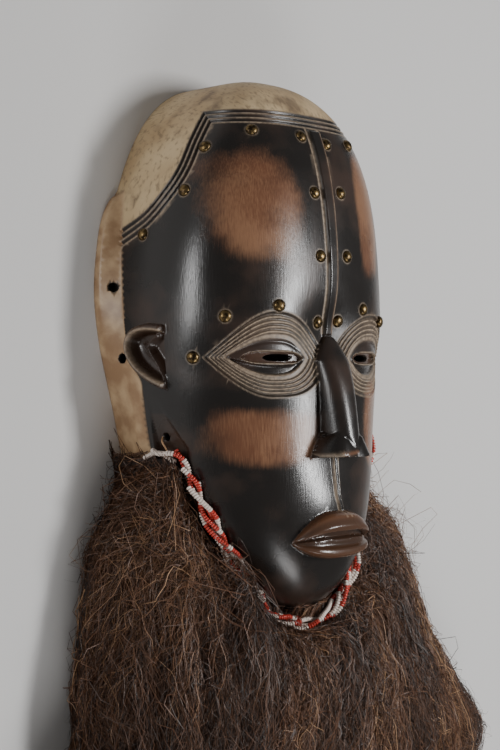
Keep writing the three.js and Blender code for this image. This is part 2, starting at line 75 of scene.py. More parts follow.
# Carving
RIDGE = dict(top=157, bottom=24, half_top=5.6, half_bottom=4, rise=2.6)
NOSE = dict(root=25, base=-52, half=13.8, taper=0.17, rise_root=3, rise_base=21.5, wing=9.6,
            wing_top=-36)
MOUTH = dict(y=-105, half=33)
EYE = dict(x=46, y=10.8, temple_half=(25.5, 34), nose_half=(24.5, 44), up=(11.6, 28.4),
           down=(11.8, 24.4), temple_round=(2, 2), nose_round_up=(3, 2.2), nose_round_down=(3, 3.2))
LID_PROFILE = ((-1, -1.9), (-0.85, -3.6), (-0.5, -3.2), (-0.36, -0.9), (0.36, -1.2), (0.7, -1.5),
               (0.95, -2.8), (1, -2))
EYE_AREA = dict(x=40, half_x=48, y=12, half_y=40, back=50)
FIELD_DEPTH, RING_RISE, SLOT_DEPTH = 1.5, 1.25, 4.6
SLIT = dict(x=39.5, half=10, height=1.9, recess=3.4, cut=(60, 130))
BORES = (((95, 56, 13), (0.35, 0, 1), 2.9, 40), ((94, 10.5, 20), (1, 0, 0.6), 3.2, 46),
         ((80, -39, 49), (1, 0, 0.3), 2.6, 46))
RING_SHARES = (0.98, 0.8, 0.62, 0.44, 0.26)
NOSTRIL = ((22, -44), (20, -40), (15, -37.3), (9, -37.6), (4, -41), (1, -46))
GROOVE = dict(top=-50, bottom=-90, half=(3.2, 2.2), rise=1.9, depth=0.7)
JAW = dict(top=-16, length=124, front=(49, 66), back=41, depth=(0.1, 6), middle_half=20)
HAIRLINE_Y, HAIRLINE_SPACING, HAIRLINE_DEPTH, HAIRLINE_HALF = 163.5, 3.2, 1.6, 0.95
TEMPLE = ((10, 87), (35, 99), (51, 115), (59, 130), (61, 149), (61, 163.5), (59, 184))
TEMPLE_STRETCH = 0.78
NAIL_RADIUS, NAIL_RISE = 4, 2.6
FRONT_NAILS = (((47, 153.5), (12.5, 152), (11, 115.3), (10.4, 75), (9.4, 33.3), (43.5, 43)),
               ((36, 151.5), (10, 149), (14, 117), (15, 76), (9.4, 34.5), (33, 42.6)))
EDGE_NAILS = (((34, 88.8), (63.3, 115), (69.5, 142.8), (93, 36), (75, 10.8)),
              ((34, 88.8), (63.3, 115), (69.5, 142.8), (104, 35.5), (75, 10.8)))


def clamp(v):
    return np.clip(v, 0, 1)


def smooth(v):
    t = clamp(v)
    return t * t * (3 - 2 * t)


def mix(a, b, t):
    return a + (b - a) * t


def bump(v, width):
    return np.exp(-(v / width) ** 2)


def along(table, v):
    """Reads a value from a table of (place, value) pairs."""
    places, values = zip(*table)
    return np.interp(v, places, values)


def unit(v):
    """Vectors of length 1 along the given ones."""
    return v / np.maximum(np.linalg.norm(v, axis=-1, keepdims=True), 1e-9)


def half_width(y):
    up = y > WIDEST_Y
    reach = np.where(up, CROWN_Y - WIDEST_Y, WIDEST_Y - CHIN_Y)
    n = np.where(up, CROWN_ROUNDNESS, JAW_ROUNDNESS)
    t = clamp(np.abs(y - WIDEST_Y) / reach)
    return HALF_WIDTH * (1 - t ** n) ** (1 / n)


def dome_rise(y):
    up = y > BROW_Y
    start = np.where(up, BROW_Y, CHIN_TURN_Y)
    end = np.where(up, CROWN_Y, CHIN_Y)
    n = np.where(up, FOREHEAD_ROUNDNESS, CHIN_ROUNDNESS)
    t = clamp((y - start) / (end - start))
    return DOME_RISE * (1 - t ** n) ** (1 / n)


def squareness(y):
    """Exponent of the superellipse at a height."""
    return sum((more * smooth((y - start) / over) for start, over, more in SQUARER), LEAST_SQUARENESS)


def swelling(x, y):
    total = 0
    for b in (MUZZLE, NOSE_ROOT_DIP):
        total = total + b["rise"] * np.exp(-(x / b["across"]) ** 2 - ((y - b["y"]) / b["along"]) ** 2)
    return total


def front_z(x, y):
    n = squareness(y)
    t = clamp(np.abs(x) / half_width(y))
    return WALL_TOP + dome_rise(y) * (1 - t ** n) ** (1 / n) + swelling(x, y)


def side_x(z, y):
    n = squareness(y)
    t = clamp((z - WALL_TOP) / dome_rise(y))
    return half_width(y) * (1 - t ** n) ** (1 / n)


def front_points(x, y):
    x, y = np.broadcast_arrays(np.asarray(x, float), np.asarray(y, float))
    return np.stack([x, y, front_z(x, y)], -1)


def side_points(z, y, side):
    z, y = np.broadcast_arrays(np.asarray(z, float), np.asarray(y, float))
    return np.stack([side * side_x(z, y), y, z], -1)


def level(p):
    x, y, z = p.T
    n = squareness(y)
    across = (np.abs(x) / np.maximum(half_width(y), 0.01)) ** n
    up = np.maximum(z - swelling(x, y) - WALL_TOP, 0) / np.maximum(dome_rise(y), 0.01)
    return across + up ** n


def normals_at(p):
    return unit(np.stack([level(p + step) - level(p - step) for step in 0.05 * np.eye(3)], -1))


def flange_width(y):
    down = clamp((FLANGE_TOP_Y - y) / FLANGE_SHOULDER)
    shoulder = np.sqrt(1 - (1 - down) ** 2)
    bevel = CAP_BEVEL * smooth((y - FLANGE_TOP_Y) / CAP_BEVEL_LENGTH)
    undercut = JAW_UNDERCUT * smooth((UNDERCUT_Y - y) / FADE_LENGTH)
    return FLANGE_WIDTH * shoulder * (1 - smooth((NARROWING_Y - y) / FADE_LENGTH)) - undercut - bevel


def crease_height(y):
    """Height at which the side wall turns out into the flange."""
    sloping = CREASE["low"] + (CREASE["top_y"] - y) * CREASE["slope"]
    return np.clip(sloping, CREASE["low"], CREASE["high"])


def arc_point(share, exponent):
    """Across and up shares of a superellipse at a share of its quarter turn."""
    a = clamp(share) * math.pi / 2
    sine, cosine = np.sin(a), np.maximum(np.cos(a), 0)
    r = (sine ** exponent + cosine ** exponent) ** (-1 / exponent)
    return sine * r, cosine * r


def outer_points(s, t):
    y = MIDDLE_Y + REACH_Y * np.sin(s)
    h = np.abs(t)
    w, crease, flange = half_width(y), crease_height(y), flange_width(y)
    across, up = arc_point(h / DOME_SHARE, squareness(y))
    x = w * across
    z = WALL_TOP + dome_rise(y) * up + swelling(x, y) * (up > 0)
    wall = clamp((h - DOME_SHARE) / (WALL_SHARE - DOME_SHARE))
    slope = clamp((h - WALL_SHARE) / (SLOPE_SHARE - WALL_SHARE))
    foot = clamp((h - SLOPE_SHARE) / (1 - SLOPE_SHARE))
    below = h > DOME_SHARE
    x = np.where(below, w + flange * slope, x)
    low = mix(mix(WALL_TOP, crease, wall), FLANGE_EDGE, slope) * (1 - foot)
    z = np.where(below, low, z)
    return np.stack([np.sign(t) * x, y, z], -1)


def inner_points(s, t):
    y = MIDDLE_Y + REACH_Y * np.sin(s)
    h = np.abs(t)
    w = half_width(y) * RIM_SHARE
    across, up = arc_point(h / INNER_DOME_SHARE, 2.4)
    rise = WALL_TOP + dome_rise(y) - WALL - INNER_WALL_TOP
    below = h > INNER_DOME_SHARE
    x = np.where(below, w, w * across)
    wall = INNER_WALL_TOP * (1 - h) / (1 - INNER_DOME_SHARE)
    z = np.where(below, wall, INNER_WALL_TOP + rise * up)
    return np.stack([np.sign(t) * x, MIDDLE_Y + (REACH_Y - RIM_END) * np.sin(s), z], -1)


# Distances to lines on the surface

def spline(keys, count):
    """A smooth line through key points."""
    keys = np.asarray(keys, float)
    padded = np.vstack([2 * keys[0] - keys[1], keys, 2 * keys[-1] - keys[-2]])
    places = np.linspace(0, len(keys) - 1, count)
    i = np.minimum(places.astype(int), len(keys) - 2)
    t = (places - i)[:, None]
    a, b, c, d = (padded[i + k] for k in range(4))
    square, cube = 2 * a - 5 * b + 4 * c - d, 3 * b - a - 3 * c + d
    return 0.5 * (2 * b + (c - a) * t + square * t ** 2 + cube * t ** 3)


def distance_to(line, p):
    """Distance of each point to a line of short straight pieces."""
    nearest = np.full(len(p), 1e9)
    for a, b in zip(line[:-1], line[1:]):
        piece = b - a
        t = clamp((p - a) @ piece / (piece @ piece))
        nearest = np.minimum(nearest, ((p - a - t[:, None] * piece) ** 2).sum(1))
    return np.sqrt(nearest)


def hairline_place(p):
    """Place across the band of cut lines: 0 on its middle line and positive towards the crown."""
    keys = spline(TEMPLE, 50)
    y, z = p[:, 1], p[:, 2]
    gap = np.full(len(p), 40.0)
    near = (y > 70) & (z < 95)
    mirrored = np.abs(p[near]) if near.any() else p[near]
    gap[near] = distance_to(side_points(keys[:, 0], keys[:, 1], 1), mirrored)
    behind = (y > TEMPLE[0][1]) & (z < np.interp(y, keys[:, 1], keys[:, 0]))
    on_temple = np.where(behind, gap, -gap) * TEMPLE_STRETCH
    on_flange = (np.abs(p[:, 0]) > half_width(y) + 0.5) & (y < FLANGE_TOP_Y + 4)
    return np.where(on_flange, -40, np.maximum(on_temple, y - HAIRLINE_Y))


def lens_reach(x, y, share):
    """Height of an eye's edge from its middle line; share is 0 on the inner and 1 on the outer lens."""
    across = EYE["x"] - np.abs(x)
    to_nose, upper = across > 0, y > EYE["y"]
    half = np.where(to_nose, mix(*EYE["nose_half"], share), mix(*EYE["temple_half"], share))
    nose_round = np.where(upper, mix(*EYE["nose_round_up"], share), mix(*EYE["nose_round_down"], share))
    roundness = np.where(to_nose, nose_round, mix(*EYE["temple_round"], share))
    reach = np.where(upper, mix(*EYE["up"], share), mix(*EYE["down"], share))
    return reach * (1 - np.abs(across / half) ** roundness)


def lens_share(x, y):
    """How far a point lies between the inner lens (0) and the outer lens (1) of its eye."""
    low, high = np.full(len(x), -0.65), np.full(len(x), 2.0)
    for _ in range(18):
        share = (low + high) / 2
        outside = np.abs(y - EYE["y"]) > lens_reach(x, y, share)
        low, high = np.where(outside, share, low), np.where(outside, high, share)
    return (low + high) / 2


def lid_height(x, y):
    """Height inside the inner lens: 1 at its upper edge, -1 at its lower edge."""
    return (y - EYE["y"]) / np.maximum(lens_reach(x, y, 0), 0.4)


def slit_gap(x, y):
    """Below 1 inside the sunken slot between the lids."""
    q = (EYE["x"] - 2 - np.abs(x)) / 21
    return np.abs(y - EYE["y"]) / (SLIT["recess"] * np.maximum(1 - np.abs(q) ** 5, 0.02))


def ring_crest(share):
    return sum(bump(share - crest, 0.045) for crest in RING_SHARES)


def near_eyes(p):
    x, y, z = p.T
    inside = np.abs(np.abs(x) - EYE_AREA["x"]) < EYE_AREA["half_x"]
    inside &= (np.abs(y - EYE_AREA["y"]) < EYE_AREA["half_y"]) & (z > EYE_AREA["back"])
    return inside & (nose_height(p) < z + 0.4)


def eye_relief(p):
    x, y, _ = p.T
    near = near_eyes(p)
    x, y = x[near], y[near]
    depth = np.zeros(len(p))
    share, lid, gap = lens_share(x, y), lid_height(x, y), slit_gap(x, y)
    field = -FIELD_DEPTH * smooth((1.05 - share) / 0.08)
    rings = field + RING_RISE * clamp(ring_crest(share))
    lids = mix(along(LID_PROFILE, lid), -SLOT_DEPTH, smooth((1.12 - gap) / 0.2))
    depth[near] = np.where(share < 0, mix(rings, lids, smooth(-share / 0.12)), rings)
    return depth


def nose_height(p):
    x, y, _ = p.T
    t = clamp((NOSE["root"] - y) / (NOSE["root"] - NOSE["base"]))
    half = NOSE["half"] * np.minimum(1, (np.clip(NOSE["root"] - y + 1, 0, 99) / 17) ** 0.55)
    half = half * (1 - NOSE["taper"] * t)
    rise = mix(NOSE["rise_root"], NOSE["rise_base"], t ** 0.55)
    foot = front_z(half, y) - 1
    turn = np.full(len(p), 0.6)
    for _ in range(4):
        shoulder = np.sin(2 * turn)
        start = NOSE["wing_top"] - 12 * (1 - shoulder) * np.sin(turn)
        flare = clamp((start - y) / (start - NOSE["base"])) ** 0.7
        c = clamp(np.abs(x) / np.maximum(half + NOSE["wing"] * flare, 0.1))
        turn = np.arccos(c ** 1.25)
    body = foot + (rise + 3 * flare * shoulder) * np.sin(turn) ** 0.8
    near = (y < -30) & (y > NOSE["base"]) & (np.abs(x) < 26)
    flat = np.stack([np.abs(x[near]), y[near]], 1)
    body[near] -= 0.9 * bump(distance_to(np.array(NOSTRIL, float), flat), 0.8)
    ends = clamp((y - NOSE["base"]) / 0.8) * clamp((NOSE["root"] + 1 - y) / 2)
    return np.where((c < 1) & (ends > 0), mix(front_z(x, y) - 1, body, ends), -99)


MOUTH_PROFILE = ((-10.6, 0), (-9.4, 6), (-7, 10), (-5, 12), (-2, 11), (-0.8, 7.5), (3.4, 7), (3.9, 3),
                 (8, 3), (9, 10.5), (12, 11), (17, 7), (18.3, 4.5), (19.2, 0))


def lip_place(x, y):
    """Share of the way to a corner of the mouth, and the place across the lips as at its middle."""
    q = np.clip(np.abs(x) / MOUTH["half"], 0, 0.999)
    return q, (y - MOUTH["y"]) / (1 - q ** 2.8)


def mouth_relief(p):
    x, y, z = p.T
    q, height = lip_place(x, y)
    rise = along(MOUTH_PROFILE, height) * (1 - q ** 5)
    return np.where((np.abs(x) < MOUTH["half"]) & (z > FRONT_Z), rise, 0)


def ridge_half(y):
    share = (y - RIDGE["bottom"]) / (RIDGE["top"] - RIDGE["bottom"])
    return mix(RIDGE["half_bottom"], RIDGE["half_top"], share)


def ridge_relief(p):
    x, y, z = p.T
    edge = clamp((ridge_half(y) - np.abs(x)) / 1.3)
    ends = clamp((y - RIDGE["bottom"]) / 2) * clamp((RIDGE["top"] - y) / 1.5)
    return RIDGE["rise"] * edge * ends * (z > FRONT_Z)


def groove_bend(y):
    """The groove above the lips turns aside near its foot."""
    return 3.5 * smooth((-74 - y) / 14)


def philtrum_relief(p):
    x, y, z = p.T
    bend = groove_bend(y)
    half = mix(*GROOVE["half"], smooth((-52 - y) / 30))
    edge = clamp((half - np.abs(x - bend)) / 0.9)
    groove = GROOVE["depth"] * bump(x - bend, half * 0.4)
    raised = GROOVE["rise"] * edge - groove * edge
    return raised * (y < GROOVE["top"]) * (y > GROOVE["bottom"]) * (z > FRONT_Z)


# Ear: a raised rim leaning back from an upright front edge, a hollow and a bent fold

EAR_FRONT = 57
EAR_FOLD = ((52, 25), (45, 17.5), (51, 7.5), (56.5, -3))
EAR_PROFILE = ((-3.2, 0), (-2.2, 5.4), (-0.5, 6.9), (0.5, 6.7), (2, 1.2), (3.4, -3), (6, -4))


def ear_curve(inset, count):
    keys = ((57, 30 - inset), (20 + inset, 36 - inset), (14 + inset * 1.6, 10), (57, -8 + inset))
    t = np.linspace(0, 1, count)[:, None]
    shares = ((1 - t) ** 3, 3 * t * (1 - t) ** 2, 3 * t * t * (1 - t), t ** 3)
    return sum(np.array(key, float) * share for key, share in zip(keys, shares))


def inside_loop(line, z, y):
    """True where (z, y) lies inside a closed outline."""
    hits = np.zeros(len(z), int)
    for (az, ay), (bz, by) in zip(line, np.roll(line, -1, axis=0)):
        crosses = (ay > y) != (by > y)
        hits += crosses & (z < az + (y - ay) * (bz - az) / ((by - ay) or 1e-9))
    return hits % 2 == 1


def ear_inward(p):
    """Distance inside the crest of the ear's rim, negative outside it, and which points it is for."""
    x, y, z = p.T
    near = (np.abs(x) > 60) & (y > -16) & (y < 42) & (z > 14) & (z < 66)
    flat = np.stack([z[near], y[near]], 1)
    line = ear_curve(2, 40)
    gap = distance_to(line, flat)
    return np.where(inside_loop(line, *flat.T), gap, -gap), near


def ear_relief(p):
    depth = np.zeros(len(p))
    inward, near = ear_inward(p)
    flat = np.stack([p[near, 2], p[near, 1]], 1)
    rim = along(EAR_PROFILE, inward)
    fold = 2.2 - 2.0 * distance_to(spline(EAR_FOLD, 24), flat)
    shape = np.where(inward > 1.5, np.maximum(rim, np.maximum(fold, -4)), rim)
    front = clamp((EAR_FRONT + 0.6 - flat[:, 0]) / 1.2)
    depth[near] = shape * front * (inward > -3.2)
    return depth


def jaw_step(p):
    x, y, z = p.T
    s = (JAW["top"] - y) / JAW["length"]
    front = mix(*JAW["front"], clamp(s * 4.2))
    deep = mix(*JAW["depth"], smooth(6 * s / 2.5))
    wall = clamp((front - z) / 1.2) * clamp((z - JAW["back"]) / 1.2)
    return -deep * wall * (s > 0) * (s < 1) * (np.abs(x) > JAW["middle_half"])


def hairline_relief(p):
    place = hairline_place(p)
    depth = np.zeros(len(p))
    for shift in (-HAIRLINE_SPACING, 0, HAIRLINE_SPACING):
        depth = depth - HAIRLINE_DEPTH * clamp(1 - np.abs(place - shift) / HAIRLINE_HALF)
    return depth


def carve(p):
    """Moves points of the plain face to the carved surface."""
    cut = np.minimum.reduce([hairline_relief(p), eye_relief(p), jaw_step(p)])
    raised = np.maximum.reduce([ridge_relief(p), philtrum_relief(p), mouth_relief(p)])
    ear = ear_relief(p)
    depth = np.where(raised > 0, raised, cut)
    depth = np.where(ear != 0, ear, depth)
    moved = p + normals_at(p) * depth[:, None]
    moved[:, 2] = np.maximum(moved[:, 2], nose_height(p))
    return moved


# Fine mesh of the body: a closed grid whose long edges are split where the carving is fine

OUTER_STEPS = np.unique(np.concatenate([
    np.linspace(0, DOME_SHARE, 19), [0.75], np.linspace(WALL_SHARE, SLOPE_SHARE, 4), [1]]))
INNER_STEPS = np.linspace(0, 1, 15)
GRID_ROWS = 64


def place(params):
    s, t, sheet = params.T
    points = inner_points(s, t)
    outer = sheet < 0.5
    points[outer] = carve(outer_points(s[outer], t[outer]))
    return points


def both_signs(steps):
    return np.concatenate([-steps[:0:-1], steps])


def closed_grid():
    outer, inner = both_signs(OUTER_STEPS), both_signs(INNER_STEPS)[::-1]
    ring = [(t, 0) for t in outer] + [(t, 1) for t in inner]
    rows = np.linspace(-END_ANGLE, END_ANGLE, GRID_ROWS)
    params = np.array([(s, t, sheet) for s in rows for t, sheet in ring], float)
    size = len(ring)
    quads = []
    for i in range(GRID_ROWS - 1):
        for j in range(size):
            k = (j + 1) % size
            quads.append((i * size + j, i * size + k, (i + 1) * size + k, (i + 1) * size + j))
    for end, flip in ((0, True), (GRID_ROWS - 1, False)):
        for first, last in ((0, len(outer) - 1), (len(outer), size - 1)):
            for k in range((last - first) // 2):
                quad = [first + k, first + k + 1, last - k - 1, last - k]
                quads.append([end * size + v for v in (quad[::-1] if flip else quad)])
        rim = [0, len(outer) - 1, len(outer), size - 1]
        quads.append([end * size + v for v in (rim if flip else rim[::-1])])
    faces = []
    for a, b, c, d in quads:
        faces += [f for f in ((a, b, c), (a, c, d)) if len(set(f)) == 3]
    return params, np.array(faces)


# Where the mesh is fine: ranges of |x|, y and z, the longest edge, and 1 where it grows on the far side
FINE_BOXES = (
    ((-1, 34), (-117, -85), (60, 200), 1.7, 0),
    ((-1, 24), (-55, 28), (60, 200), 2.3, 0),
    ((-1, 8), (20, 160), (60, 200), 1.15, 0),
    ((-1, 8), (-92, -48), (60, 200), 0.9, 0),
    ((60, 200), (-14, 36), (16, 60), 1.5, 1),
    ((20, 200), (-142, -14), (39, 68), 2.8, 1),
    ((-1, 200), (-120, 200), (-1, 30), 4.4, 0),
)


def wanted_size(p):
    """Longest edge wanted at each point of the plain outer face."""
    x, y, z = p.T
    far = mix(1, 1.6, smooth((x - 25) / 20))
    lens = np.maximum(lens_reach(x, y, 1), 0) + 3
    eyes = near_eyes(p) & (np.abs(y - EYE["y"]) < lens) & (np.abs(np.abs(x) - EYE["x"]) < 46)
    lids = np.abs(lid_height(x, y)) < 0.8
    zones = [
        (eyes, np.where(lids, 1.5, 1.08) * mix(1, far, 0.7)),
        (np.abs(hairline_place(p)) < 5.6, 1.12 * far),
        (nail_distance(p) < 6.5, 1.3),
    ]
    for *ranges, longest, grows in FINE_BOXES:
        inside = np.full(len(p), True)
        for v, (low, high) in zip((np.abs(x), y, z), ranges):
            inside &= (v > low) & (v < high)
        zones.append((inside, longest * far ** grows))
    size = np.full(len(p), 5.0)
    for zone, longest in zones:
        size = np.where(zone, np.minimum(size, longest), size)
    return size


def split_long_edges(params, faces, rounds=9):
    points = place(params)
    for _ in range(rounds):
        ends = np.sort(faces[:, [0, 1, 1, 2, 2, 0]].reshape(-1, 2), axis=1)
        edges, which = np.unique(ends, axis=0, return_inverse=True)
        which = which.reshape(-1, 3)
        a, b = edges.T
        centre = (params[a] + params[b]) / 2
        same = (params[a, 2] == params[b, 2]) & (np.abs(params[a, 1] - params[b, 1]) < 0.08)
        same &= params[a, 2] == 0
        length = np.linalg.norm(points[a] - points[b], axis=1)
        long = np.zeros(len(edges), bool)
        plain = outer_points(centre[same, 0], centre[same, 1])
        long[same] = length[same] > wanted_size(plain)
        if not long.any():
            break
        number = np.full(len(edges), -1)
        number[long] = len(params) + np.arange(long.sum())
        params = np.vstack([params, centre[long]])
        points = np.vstack([points, place(centre[long])])
        faces = split_faces(faces, number[which])
    return params, points, faces


def split_faces(faces, middles):
    """Splits triangles at the new points of their edges; -1 stands for an edge that stays."""
    marked = middles >= 0
    count = marked.sum(1)
    made = [faces[count == 0]]
    for start in range(3):
        turn = [start, (start + 1) % 3, (start + 2) % 3]
        f, m, k = faces[:, turn], middles[:, turn], marked[:, turn]
        one = (count == 1) & k[:, 0]
        a, b, c, ab = f[one, 0], f[one, 1], f[one, 2], m[one, 0]
        made += [np.stack([a, ab, c], 1), np.stack([ab, b, c], 1)]
        two = (count == 2) & ~k[:, 2]
        a, b, c, ab, bc = f[two, 0], f[two, 1], f[two, 2], m[two, 0], m[two, 1]
        made += [np.stack([ab, b, bc], 1), np.stack([a, ab, bc], 1), np.stack([a, bc, c], 1)]
    full = count == 3
    a, b, c = faces[full].T
    ab, bc, ca = middles[full].T
    made += [np.stack(t, 1) for t in ((a, ab, ca), (ab, b, bc), (ca, bc, c), (ab, bc, ca))]
    return np.vstack(made)


# Where each colour of the wood lies

WORN_PATCHES = (((-50, 104), (26, 32), 0.4), ((45, 106), (15, 40), 0.3),
                ((-46, -39), (29, 19), 0.4), ((50, -34), (14, 28), 0.3))
HAIRLINE_CRESTS = (-4.8, -1.6, 1.6, 4.8)


def patch(x, y, centre, size, soft, roundness=2.0):
    """1 in a rounded patch and 0 outside it; a higher roundness squares its corners."""
    across, up = np.abs(x - centre[0]) / size[0], np.abs(y - centre[1]) / size[1]
    distance = (across ** roundness + up ** roundness) ** (1 / roundness)
    return smooth((1 + soft - distance) / (2 * soft))


def worn_wood(p):
    x, y, z = p.T
    total = np.zeros(len(p))
    for centre, size, soft in WORN_PATCHES:
        total = np.maximum(total, patch(x, y, centre, size, soft, 3.2))
    return total * smooth((z - 40) / 15) * (nose_height(p) < z + 0.3)


def nail_points():
    places = []
    for side, front, edge in zip((-1, 1), FRONT_NAILS, EDGE_NAILS):
        places += [front_points(side * x, y) for x, y in front]
        places += [side_points(z, y, side) for z, y in edge]
    return np.array(places)


def nail_distance(p):
    nearest = np.full(len(p), 1e9)
    for place_of_nail in nail_points():
        nearest = np.minimum(nearest, np.linalg.norm(p - place_of_nail, axis=1))
    return nearest


def eye_shares(p):
    """The lens share near the eyes, and a large number elsewhere."""
    share = np.full(len(p), 9.0)
    near = near_eyes(p)
    share[near] = lens_share(p[near, 0], p[near, 1])
    return share


def eye_dust_and_highlights(p):
    share, lid, gap = eye_shares(p), lid_height(p[:, 0], p[:, 1]), slit_gap(p[:, 0], p[:, 1])
    crests = sum(bump(share - crest, 0.03) for crest in RING_SHARES[1:]) * (share > 0.1)
    field = 0.19 * smooth((0.96 - share) / 0.06) * (share > 0.02)
    bands = bump(share - 0.1, 0.08) * 0.7 + bump(share - 1.04, 0.035) * 0.5 * (share < 1.12)
    # Pale lines just outside the slot between the lids are painted highlights on its edges.
    slit = 0.8 * bump(gap - 1.1, 0.09) * (share < -0.05)
    lower = 0.7 * bump(lid + 0.97, 0.07) * (share < 0.1)
    return np.maximum.reduce([crests, field, bands, slit, lower])


def edge_dust_and_reflection(p):
    """Dust along the ridge and both edges of the groove above the lips, and a painted reflection along
    the base of the nose.
    """
    x, y, z = p.T
    half = ridge_half(y)
    lines = 0.8 * bump(np.abs(x) - half - 0.4, 0.75) + 0.9 * bump(x - half + 0.7, 0.95)
    ridge = lines * (y > 26) * (y < 158) * (z > FRONT_Z)
    groove = 0.8 * bump(np.abs(x - groove_bend(y)) - 2.1, 0.6)
    groove = groove * (y < -51) * (y > -89) * (z > FRONT_Z)
    # Grey-white painted reflection on the near part of the nose's base.
    base = 0.6 * nose_base_reflection(p) * (x < -11)
    return np.maximum.reduce([ridge, groove, base])


def nose_base_reflection(p):
    """A painted reflection along the lower edge of the near wing of the nose."""
    x, y, z = p.T
    line = y - NOSE["base"] - 2.2 - 0.1 * (x + 14)
    return bump(line, 1.1) * (nose_height(p) > z + 1) * (x > -20) * (x < 2)


def nail_dust(p):
    return 0.5 * bump(np.maximum(nail_distance(p) - 4.1, 0), 0.6)


def ear_dust(p):
    inward, near = ear_inward(p)
    total = np.zeros(len(p))
    total[near] = 0.75 * bump(inward - 0.4, 0.8) * (p[near, 2] < EAR_FRONT)
    return total


def brown_wood_and_highlights(p):
    """Brown on the lips, the ears, the ledge of the jaw, the far edge of the ridge and in the slits,
    with painted highlights on the lips and the brown part of the painted reflection at the nose's base.
    """
    x, y, z = p.T
    _, height = lip_place(x, y)
    lips = (height > -10.6) & (height < 19.2) & (np.abs(x) < MOUTH["half"]) & (z > FRONT_Z)
    teeth = lips & (height > -0.8) & (height < 8)
    ear = 0.18 * (ear_relief(p) != 0)
    slit = 0.35 * (slit_gap(x, y) < 1) * (eye_shares(p) < 0)
    jaw = 0.12 * (jaw_step(p) < -0.5)
    ridge = 0.9 * bump(x - ridge_half(y) + 0.6, 1.3) * (z > FRONT_Z)
    ridge = ridge * (y > RIDGE["bottom"] + 2.66) * (y < RIDGE["top"])
    # Lighter brown along the top edge of the upper lip, wear with a painted highlight on it, and on the
    # lower lip, a painted highlight.
    lip_wear_and_highlights = 0.5 + 0.5 * bump(height - 17, 1.5) + 0.4 * bump(height + 7, 2)
    # The last share is the brown part of the painted reflection at the base of the nose.
    return np.maximum.reduce([lip_wear_and_highlights * (lips & ~teeth), 0.3 * teeth, ear, slit, jaw, ridge,
                              nose_base_reflection(p) * (x > -12)])


def wood_masks(params):
    """Shares of bare wood, tan flange, stains, dust and pale painted highlights, worn reddish wood, and
    brown wood that also carries painted highlights, each 0 to 1.
    """
    plain = outer_points(params[:, 0], params[:, 1])
    x, y, z = plain.T
    inside = params[:, 2] > 0.5
    foot = (np.abs(params[:, 1]) > WALL_SHARE - 0.005) & ~inside
    rubbed_wall = smooth((23 + 14 * smooth((16 - y) / 23) - z) / 1.5) * (y < 18) * (y > -60) * ~inside
    band = hairline_place(plain)
    cap = smooth((band - 4.4) / 0.8)
    crests = sum(bump(band - line, 0.45) for line in HAIRLINE_CRESTS) * (np.abs(band) < 7)
    # Pale dust, with painted highlights on the edges of the eye slits and a painted reflection at the
    # base of the nose.
    dust_and_highlights = [0.9 * crests, eye_dust_and_highlights(plain), edge_dust_and_reflection(plain), nail_dust(plain), ear_dust(plain)]
    return dict(
        bare=np.where(inside, 1, np.where(foot & (y > FLANGE_TOP_Y), 1, cap)),
        flange=np.maximum(foot & (y < FLANGE_TOP_Y), rubbed_wall),
        stain=patch(x, y, (-14, 171), (40, 9), 0.6),
        dust_and_highlights=clamp(np.maximum.reduce(dust_and_highlights)) * (1 - cap) * ~inside,
        worn=worn_wood(plain) * ~inside,
        brown=brown_wood_and_highlights(plain) * ~inside,
    )


# Meshes

def make_mesh(name, points, faces, masks=None, material=None, flat=False):
    mesh = bpy.data.meshes.new(name)
    faces = np.asarray(faces)
    mesh.vertices.add(len(points))
    lifted = (np.asarray(points) + [0, EYE_LEVEL, 0]) * MM
    mesh.vertices.foreach_set("co", lifted.astype(np.float32).ravel())
    mesh.loops.add(faces.size)
    mesh.loops.foreach_set("vertex_index", faces.ravel().astype(np.int32))
    mesh.polygons.add(len(faces))
    mesh.polygons.foreach_set("loop_start", np.arange(len(faces), dtype=np.int32) * faces.shape[1])
    mesh.update(calc_edges=True)
    mesh.validate()
    for key, values in (masks or {}).items():
        layer = mesh.attributes.new(key, "FLOAT", "POINT")
        layer.data.foreach_set("value", np.asarray(values, np.float32))
    mesh.polygons.foreach_set("use_smooth", np.full(len(mesh.polygons), not flat))
    if material:
        mesh.materials.append(material)
    return link(bpy.data.objects.new(name, mesh))


def ring_faces(rings, sides, first=0):
    """Two triangles for each side between rings of points that follow each other."""
    faces = []
    for i in range(rings - 1):
        for j in range(sides):
            k = (j + 1) % sides
            a, b = first + i * sides + j, first + i * sides + k
            faces += [(a, b, b + sides), (a, b + sides, a + sides)]
    return faces


def link(obj):
    bpy.context.scene.collection.objects.link(obj)
    return obj


def face_outwards(obj):
    bm = bmesh.new()
    bm.from_mesh(obj.data)
    bmesh.ops.recalc_face_normals(bm, faces=bm.faces)
    bm.to_mesh(obj.data)
    bm.free()


def tube_points(centres, radius, sides):
    """A round tube along a short line of points: its points and its faces."""
    centres = np.asarray(centres, float)
    forward = unit(np.gradient(centres, axis=0))
    helper = np.where(np.abs(forward[:, :1]) > 0.9, [[0.0, 1.0, 0.0]], [[1.0, 0.0, 0.0]])
    across = unit(np.cross(forward, helper))
    up = np.cross(forward, across)
    a = np.arange(sides) * 2 * math.pi / sides
    ring = across[:, None] * np.cos(a)[:, None] + up[:, None] * np.sin(a)[:, None]
    return (centres[:, None] + radius * ring).reshape(-1, 3), ring_faces(len(centres), sides)


def cutter(name, rings):
    """A closed body through rings of points, used once to cut holes."""
    count = len(rings[0])
    faces = ring_faces(len(rings), count)
    for end, flip in ((0, True), (len(rings) - 1, False)):
        for j in range(1, count - 1):
            f = (end * count, end * count + j, end * count + j + 1)
            faces.append(f[::-1] if flip else f)
    obj = make_mesh(name, np.vstack(rings), faces)
    face_outwards(obj)
    return obj


BORE_SIDES = 20


